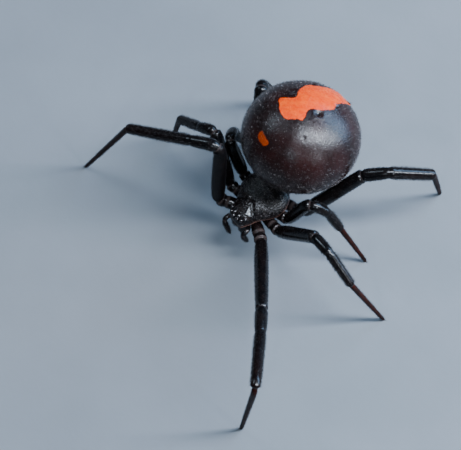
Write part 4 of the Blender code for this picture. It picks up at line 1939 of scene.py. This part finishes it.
@dataclass
class Palps:
    """The two short feelers beside the jaws, with their setae and a small claw on each."""

    radius: float = 0.165
    left: tuple[tuple[float, float, float], ...] = ((0.56, -1.50, -0.62), (1.02, -1.88, -0.14),
                                                    (0.91, -2.30, -0.32), (1.22, -2.22, -0.99))
    right: tuple[tuple[float, float, float], ...] = ((-0.56, -1.50, -0.62), (-0.63, -2.12, -0.13),
                                                     (-0.65, -2.46, -0.25), (0.01, -2.68, -1.00))
    columns: int = 24
    spacing: float = 0.05
    claw_length: float = 0.12
    claw_turn: float = 1.3
    claw_radius: tuple[float, float] = (0.022, 0.003)
    claw_steps: int = 7
    claw_columns: int = 8
    seed: int = 37

    LOOKS = (
        SegmentLook(((0.0, 0.8), (0.5, 1.0), (1.0, 0.92)), Growth(10, 0.11, 0.10)),
        SegmentLook(((0.0, 0.92), (0.5, 1.0), (1.0, 0.95)), Growth(12, 0.09, 0.13), (0.0, 0.05)),
        SegmentLook(((0.0, 0.92), (0.35, 0.98), (0.8, 0.74), (0.95, 0.52), (1.0, 0.32)),
                    Growth(16, 0.06, 0.13, 34.0, 0.008), (0.0, 0.1)),
    )

    def build(self, wardrobe: Wardrobe) -> None:
        """Makes both palps.

        Args:
            wardrobe: The materials.
        """
        rng = np.random.default_rng(self.seed)
        for side, joints in ((Side.LEFT, self.left), (Side.RIGHT, self.right)):
            bends = {1: self.radius, 2: self.radius}
            tube = BentTube(HEAD.place(np.array(joints)), (self.radius,) * 3, self.LOOKS, bends,
                            columns=self.columns, coarse=self.spacing)
            name = f"palp_{side.word}"
            skin = tube.skin().build(f"{name}_skin", wardrobe.shell, Slot.SHELL)
            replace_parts(skin, name)
            coat(tube.setae(rng)).build(f"{name}_setae", wardrobe.dark_setae, Slot.BROWN)
            turned = np.linspace(0, 1, self.claw_steps)[:, None] * self.claw_turn
            hooked = tube.tangents[-1] * np.sin(turned) + HEAD.turn[:, 1] * (1 - np.cos(turned))
            thick = np.linspace(*self.claw_radius, self.claw_steps)
            claw = tapered(tube.centres[-1] + hooked * self.claw_length, thick, self.claw_columns)
            claw.build(f"{name}_claw", wardrobe.claw, Slot.BROWN)


@dataclass
class Underbody:
    """Chest under the shield, with the heart-shaped breastplate, the lip and the mouth's side plates."""

    length: float = 2.7
    width: float = 1.36
    top: float = -0.16
    depth: float = 0.92
    width_curve: tuple[float, ...] = (0.52, 0.86, 1.0, 0.98, 0.84, 0.58, 0.24)
    rows: int = 60
    columns: int = 64
    squareness: float = 0.6
    boss: float = 0.04
    lip_place: tuple[float, float, float] = (0.0, -1.42, 0.14)
    lip_half: tuple[float, float, float] = (0.2, 0.11, 0.24)
    plate_place: tuple[float, float, float] = (0.30, -1.52, 0.13)
    plate_half: tuple[float, float, float] = (0.16, 0.13, 0.36)
    least_half: float = 0.1
    mouth_grid: tuple[int, int] = (14, 24)
    chest_tint: float = 0.1
    mouth_tint: float = 0.4

    def chest(self) -> Surface:
        """Lays out the body between the leg roots, its lower face gently bossed.

        Returns:
            Its closed skin.
        """
        place = np.linspace(0, 1, self.rows)[:, None]
        turn = np.linspace(0, 2 * math.pi, self.columns, endpoint=False)[None, :]
        half = self.width / 2 * curve(self.width_curve, place)
        across, up = np.cos(turn), np.sin(turn)
        x = half * np.sign(across) * np.abs(across) ** self.squareness
        middle = self.top - self.depth / 2
        z = middle + self.depth / 2 * np.sign(up) * np.abs(up) ** self.squareness + 0 * place
        y = self.length * (place - 0.5) + 0 * turn
        below = z < middle
        aside = np.clip(x / np.maximum(half, self.least_half), -1, 1)
        z = z - self.boss * below * np.cos(aside * math.pi / 2)
        return lofted(HEAD.place(np.stack([x, y, z], -1)))

    def mouthparts(self) -> Surface:
        """Makes the lip and the two plates beside it.

        Returns:
            The three as one surface.
        """
        axes = HEAD.turn.T[[0, 2, 1]]
        low = np.array([0.0, 0.0, self.top - self.depth])
        places = [self.lip_place, *[np.array(self.plate_place) * side.mirror for side in Side]]
        halves = (self.lip_half, self.plate_half, self.plate_half)
        return joined([rounded(HEAD.place(low + np.array(place)), axes, half, *self.mouth_grid)
                       for place, half in zip(places, halves)])

    def build(self, wardrobe: Wardrobe) -> None:
        """Makes the chest and the mouthparts.

        Args:
            wardrobe: The materials.
        """
        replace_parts(plain_shell(self.chest(), "chest_skin", self.chest_tint, wardrobe), "sternum")
        plain_shell(self.mouthparts(), "mouthparts", self.mouth_tint, wardrobe)


def globe_surface(aim: Array) -> Array:
    """Point where a ray from the middle of the abdomen leaves the globe of its solid."""
    local = GLOBE.turn.T @ aim
    return GLOBE.origin + aim / float(np.linalg.norm(local / np.array(Abdomen.half)))


@dataclass
class Waist:
    """Narrow stalk between chest and abdomen, folded like a bellows."""

    radius: float = 0.29
    rear_of_shield: tuple[float, float, float] = (0.0, 2.0, 0.03)
    reach: float = 0.14
    folds: int = 6
    slimness: float = 0.88
    fold_depth: float = 0.06
    flare: float = 0.12
    rows: int = 60
    columns: int = 40
    tint: float = 0.3

    def build(self, wardrobe: Wardrobe) -> None:
        """Makes the stalk.

        Args:
            wardrobe: The materials.
        """
        start = HEAD.place(np.array(self.rear_of_shield))
        end = globe_surface(unit(start - GLOBE.origin))
        run = unit(end - start)
        t = np.linspace(0, 1, self.rows)
        line = (start - run * self.reach) + (end - start + run * 2 * self.reach) * t[:, None]
        folded = self.fold_depth * np.cos(t * 2 * math.pi * self.folds)
        radius = self.radius * (self.slimness + folded + self.flare * (2 * t - 1) ** 2)
        skin = plain_shell(tapered(line, radius, self.columns), "waist_skin", self.tint, wardrobe)
        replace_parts(skin, "pedicel")


@dataclass
class Spinnerets:
    """Three pairs of jointed spinning cones on a low ring under the abdomen's rear end."""

    angle: float = 52.0
    length: float = 0.62
    radius: float = 0.17
    stand: float = 0.12
    rows: tuple[tuple[float, float, float], ...] = ((0.24, 0.17, 1.0), (0.0, 0.13, 0.7), (-0.24, 0.17, 0.9))
    cone_root: float = 0.04
    cone_spread: tuple[float, float] = (0.35, 1.5)
    cone_fall: float = 3.0
    cone_grid: tuple[int, int] = (26, 22)
    ring_grid: tuple[int, int] = (16, 40)
    tubercle_grid: tuple[int, int] = (12, 20)
    tint: float = 0.3
    tubercle_place: tuple[float, float] = (0.50, 0.05)
    tubercle_half: tuple[float, float, float] = (0.13, 0.09, 0.2)
    setae: Sowing = Sowing(90, (0.25, 0.97), 0.11, (0.6, 1.2), 0.008, (34.0, 8.0))
    seed: int = 71

    RING: Pairs = ((-0.22, 0.60), (-0.05, 0.55), (0.08, 0.50), (0.14, 0.40), (0.16, 0.3))
    ASKEW = (1.0, 0.2, 0.1)
    CONE: Pairs = ((0.0, 1.0), (0.45, 0.92), (0.55, 0.84), (0.60, 0.80), (0.88, 0.62), (1.0, 0.3))

    def build(self, wardrobe: Wardrobe) -> None:
        """Makes the ring, the cones, the tubercle above them and their setae.

        Args:
            wardrobe: The materials.
        """
        aim = heading(180.0, -self.angle)
        seat = globe_surface(aim) + aim * self.stand
        across = np.array(ASIDE)
        up = np.cross(aim, across)
        places = np.linspace(self.RING[0][0], self.RING[-1][0], self.ring_grid[0])
        made = [tapered(seat + aim * places[:, None], outline(self.RING, places), self.ring_grid[1])]
        rng = np.random.default_rng(self.seed)
        groups = []
        for lift, aside, size in self.rows:
            for side in Side:
                beyond = across * side.value
                foot = seat + beyond * aside + up * lift + aim * self.cone_root
                wider = beyond * self.cone_spread[0]
                out = unit(aim * self.cone_fall + wider + up * lift * self.cone_spread[1])
                beside = unit(np.cross(out, self.ASKEW))
                cone = Cone(foot, out, beside, self.length * size, self.radius * size, self.CONE)
                made.append(cone.skin(*self.cone_grid))
                groups.append(cone.setae(rng, self.setae))
        middle = seat + up * self.tubercle_place[0] + aim * self.tubercle_place[1]
        axes = np.stack([across, up, aim])
        made.append(rounded(middle, axes, self.tubercle_half, *self.tubercle_grid))
        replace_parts(plain_shell(joined(made), "spinneret_skin", self.tint, wardrobe), "spinnerets")
        coat(groups).build("spinneret_setae", wardrobe.dark_setae, Slot.BROWN)


@dataclass(frozen=True)
class Lamp:
    """Soft oblong light: direction from the spider, size and distance, brightness of its face, colour."""

    name: str
    aim: tuple[float, float, float]
    size: tuple[float, float]
    radiance: float
    colour: Colour
    away: float = 160.0


LAMPS = (
    Lamp("key", (0.455, 0.42, 0.79), (180.0, 26.0), 98.0, (0.78, 0.87, 1.0)),
    Lamp("front", (0.46, -0.52, 0.72), (14.0, 10.0), 150.0, (0.72, 0.86, 1.0)),
    Lamp("crown", (-0.57, -0.20, 0.79), (64.0, 14.0), 34.0, (0.66, 0.84, 1.0)),
    Lamp("side", (0.86, 0.04, 0.50), (20.0, 13.0), 110.0, (0.80, 0.90, 1.0)),
    Lamp("rear", (0.215, 0.908, 0.40), (150.0, 50.0), 24.0, (0.38, 0.64, 1.0)),
)


@dataclass
class Studio:
    """Camera at the photograph's angle, a pale floor and soft lights."""

    azimuth: float = 57.207
    elevation: float = 62.858
    lean: float = -7.335
    distance: float = 200.0
    anchor: tuple[float, float, float] = (0.0, 0.0, 3.714)
    anchor_pixel: tuple[float, float] = (259.006, 199.906)
    pixels_per_mm: float = 15.908
    clip: tuple[float, float] = (0.001, 10.0)
    picture: tuple[int, int] = (461, 450)
    lit: tuple[float, float, float] = (0.0, 1.5, 4.0)
    floor_size: float = 700.0
    floor_steps: int = 41
    floor_flat: float = 0.6
    floor_rise: float = 12.0
    sky_colour: Colour = (0.62, 0.70, 0.80)
    sky_strength: float = 0.08

    def axes(self) -> tuple[Array, Array, Array]:
        """Works out how the camera is turned.

        Returns:
            Its right, up and back directions.
        """
        a, e, roll = (math.radians(v) for v in (self.azimuth, self.elevation, self.lean))
        right = np.array([math.cos(a), math.sin(a), 0.0])
        back = np.array([math.sin(a) * math.cos(e), -math.cos(a) * math.cos(e), math.sin(e)])
        up = np.cross(back, right)
        c, s = math.cos(roll), math.sin(roll)
        return right * c + up * s, up * c - right * s, back

    def camera(self) -> None:
        """Makes the camera so that the anchor falls on its pixel at the photograph's scale."""
        right, up, back = self.axes()
        aside = (self.picture[0] / 2 - self.anchor_pixel[0]) / self.pixels_per_mm
        lower = (self.anchor_pixel[1] - self.picture[1] / 2) / self.pixels_per_mm
        eye = np.array(self.anchor) + back * self.distance
        target = np.array(self.anchor) + right * aside + up * lower
        look = unit(eye - target)
        level = unit(np.cross(up, look))
        turned = np.stack([level, np.cross(look, level), look], -1)
        data = bpy.data.cameras.new("camera")
        data.sensor_fit = "HORIZONTAL"
        far = float(np.linalg.norm(eye - target))
        data.angle = 2 * math.atan(self.picture[0] / 2 / (self.pixels_per_mm * far))
        data.clip_start, data.clip_end = self.clip
        item = link("camera", data)
        item.matrix_world = Matrix.Translation(Vector(to_frame(eye))) @ Matrix(turned.tolist()).to_4x4()
        bpy.context.scene.camera = item

    def light(self, lamp: Lamp) -> None:
        """Makes one lamp that faces the spider, its long side level across the picture.

        Args:
            lamp: The lamp.
        """
        data = bpy.data.lights.new(lamp.name, "AREA")
        data.shape = "RECTANGLE"
        data.size, data.size_y = lamp.size[0] * MM, lamp.size[1] * MM
        data.energy = lamp.radiance * math.pi * data.size * data.size_y
        data.color = lamp.colour
        item = link(lamp.name, data)
        back = unit(np.array(lamp.aim))
        across = self.axes()[0]
        across = unit(across - back * (across @ back))
        turned = np.stack([across, np.cross(back, across), back], -1)
        spot = to_frame(back * lamp.away + np.array(self.lit))
        item.matrix_world = Matrix.Translation(Vector(spot)) @ Matrix(turned.tolist()).to_4x4()

    def floor(self, wardrobe: Wardrobe) -> None:
        """Makes the floor, a wide sheet with gently raised far edges.

        Args:
            wardrobe: The materials.
        """
        steps = self.floor_steps
        line = np.linspace(-1, 1, steps) * self.floor_size / 2
        x, y = np.meshgrid(line, line, indexing="ij")
        reach = np.maximum(np.abs(x), np.abs(y)) / (self.floor_size / 2)
        z = self.floor_rise * np.clip(reach - self.floor_flat, 0, 1) ** 2
        index = np.arange(steps * steps).reshape(steps, steps)
        quads = np.stack([index[:-1, :-1], index[1:, :-1], index[1:, 1:], index[:-1, 1:]], -1).reshape(-1, 4)
        points = np.stack([x, y, z], -1).reshape(-1, 3)
        data = bpy.data.meshes.new("floor")
        data.from_pydata((points * MM).tolist(), [], quads.tolist())
        data.shade_smooth()
        data.materials.append(wardrobe.floor)
        link("floor", data)

    def sky(self) -> None:
        """Sets an even pale light from all round."""
        world = bpy.data.worlds.new("studio")
        world.use_nodes = True
        background = world.node_tree.nodes["Background"]
        background.inputs["Color"].default_value = (*self.sky_colour, 1.0)
        background.inputs["Strength"].default_value = self.sky_strength
        bpy.context.scene.world = world

    def build(self, wardrobe: Wardrobe) -> None:
        """Sets up the camera, the floor and the lights.

        Args:
            wardrobe: The materials.
        """
        self.camera()
        self.floor(wardrobe)
        self.sky()
        for lamp in LAMPS:
            self.light(lamp)


LEGS = (
    Leg(Side.LEFT, 1, (2.14, -1.67, -0.20), (52.5, 26.3), (49.7, 20.3), (47.9, 20.6), -79),
    Leg(Side.RIGHT, 1, (2.02, -1.82, -0.20), (150, 84.5), (-60, -11.5), (-63.5, -20), -63, (1, 4, 5)),
    Leg(Side.LEFT, 2, (2.34, -0.42, -0.32), (98.9, 46.5), (86.2, 8), (91.9, -37.9), 143.8),
    Leg(Side.RIGHT, 2, (2.32, -0.62, -0.35), (-106.3, 70.7), (-76.1, -33.4), (-84.5, -37), -104),
    Leg(Side.LEFT, 3, (2.19, 0.50, -0.19), (128.5, 61.1), (130.9, -41.4), (116.8, -63.7), 121.7),
    Leg(Side.RIGHT, 3, (2.30, 0.50, -0.35), (-86, 71), (-140, -38), (-150, -77), -150),
    Leg(Side.LEFT, 4, (2.30, 1.57, -0.68), (151, 41), (136.5, 17), (152.5, -28.5), -143.5),
    Leg(Side.RIGHT, 4, (2.25, 1.58, -0.66), (-137, 46), (-132, -64), (-135, -66), 144),
)


def main() -> None:
    """Builds the studio and the dressed spider."""
    logging.basicConfig(level=logging.INFO, format="%(name)s %(message)s")
    wardrobe = Wardrobe()
    Studio().build(wardrobe)
    shield = Carapace()
    for part in (shield, Eyes(shield), Jaws(), Palps(), Underbody(), Waist(), Abdomen(), Spinnerets(), *LEGS):
        part.build(wardrobe)
        LOG.info("%s done", type(part).__name__)


if __name__ == "__main__":
    main()
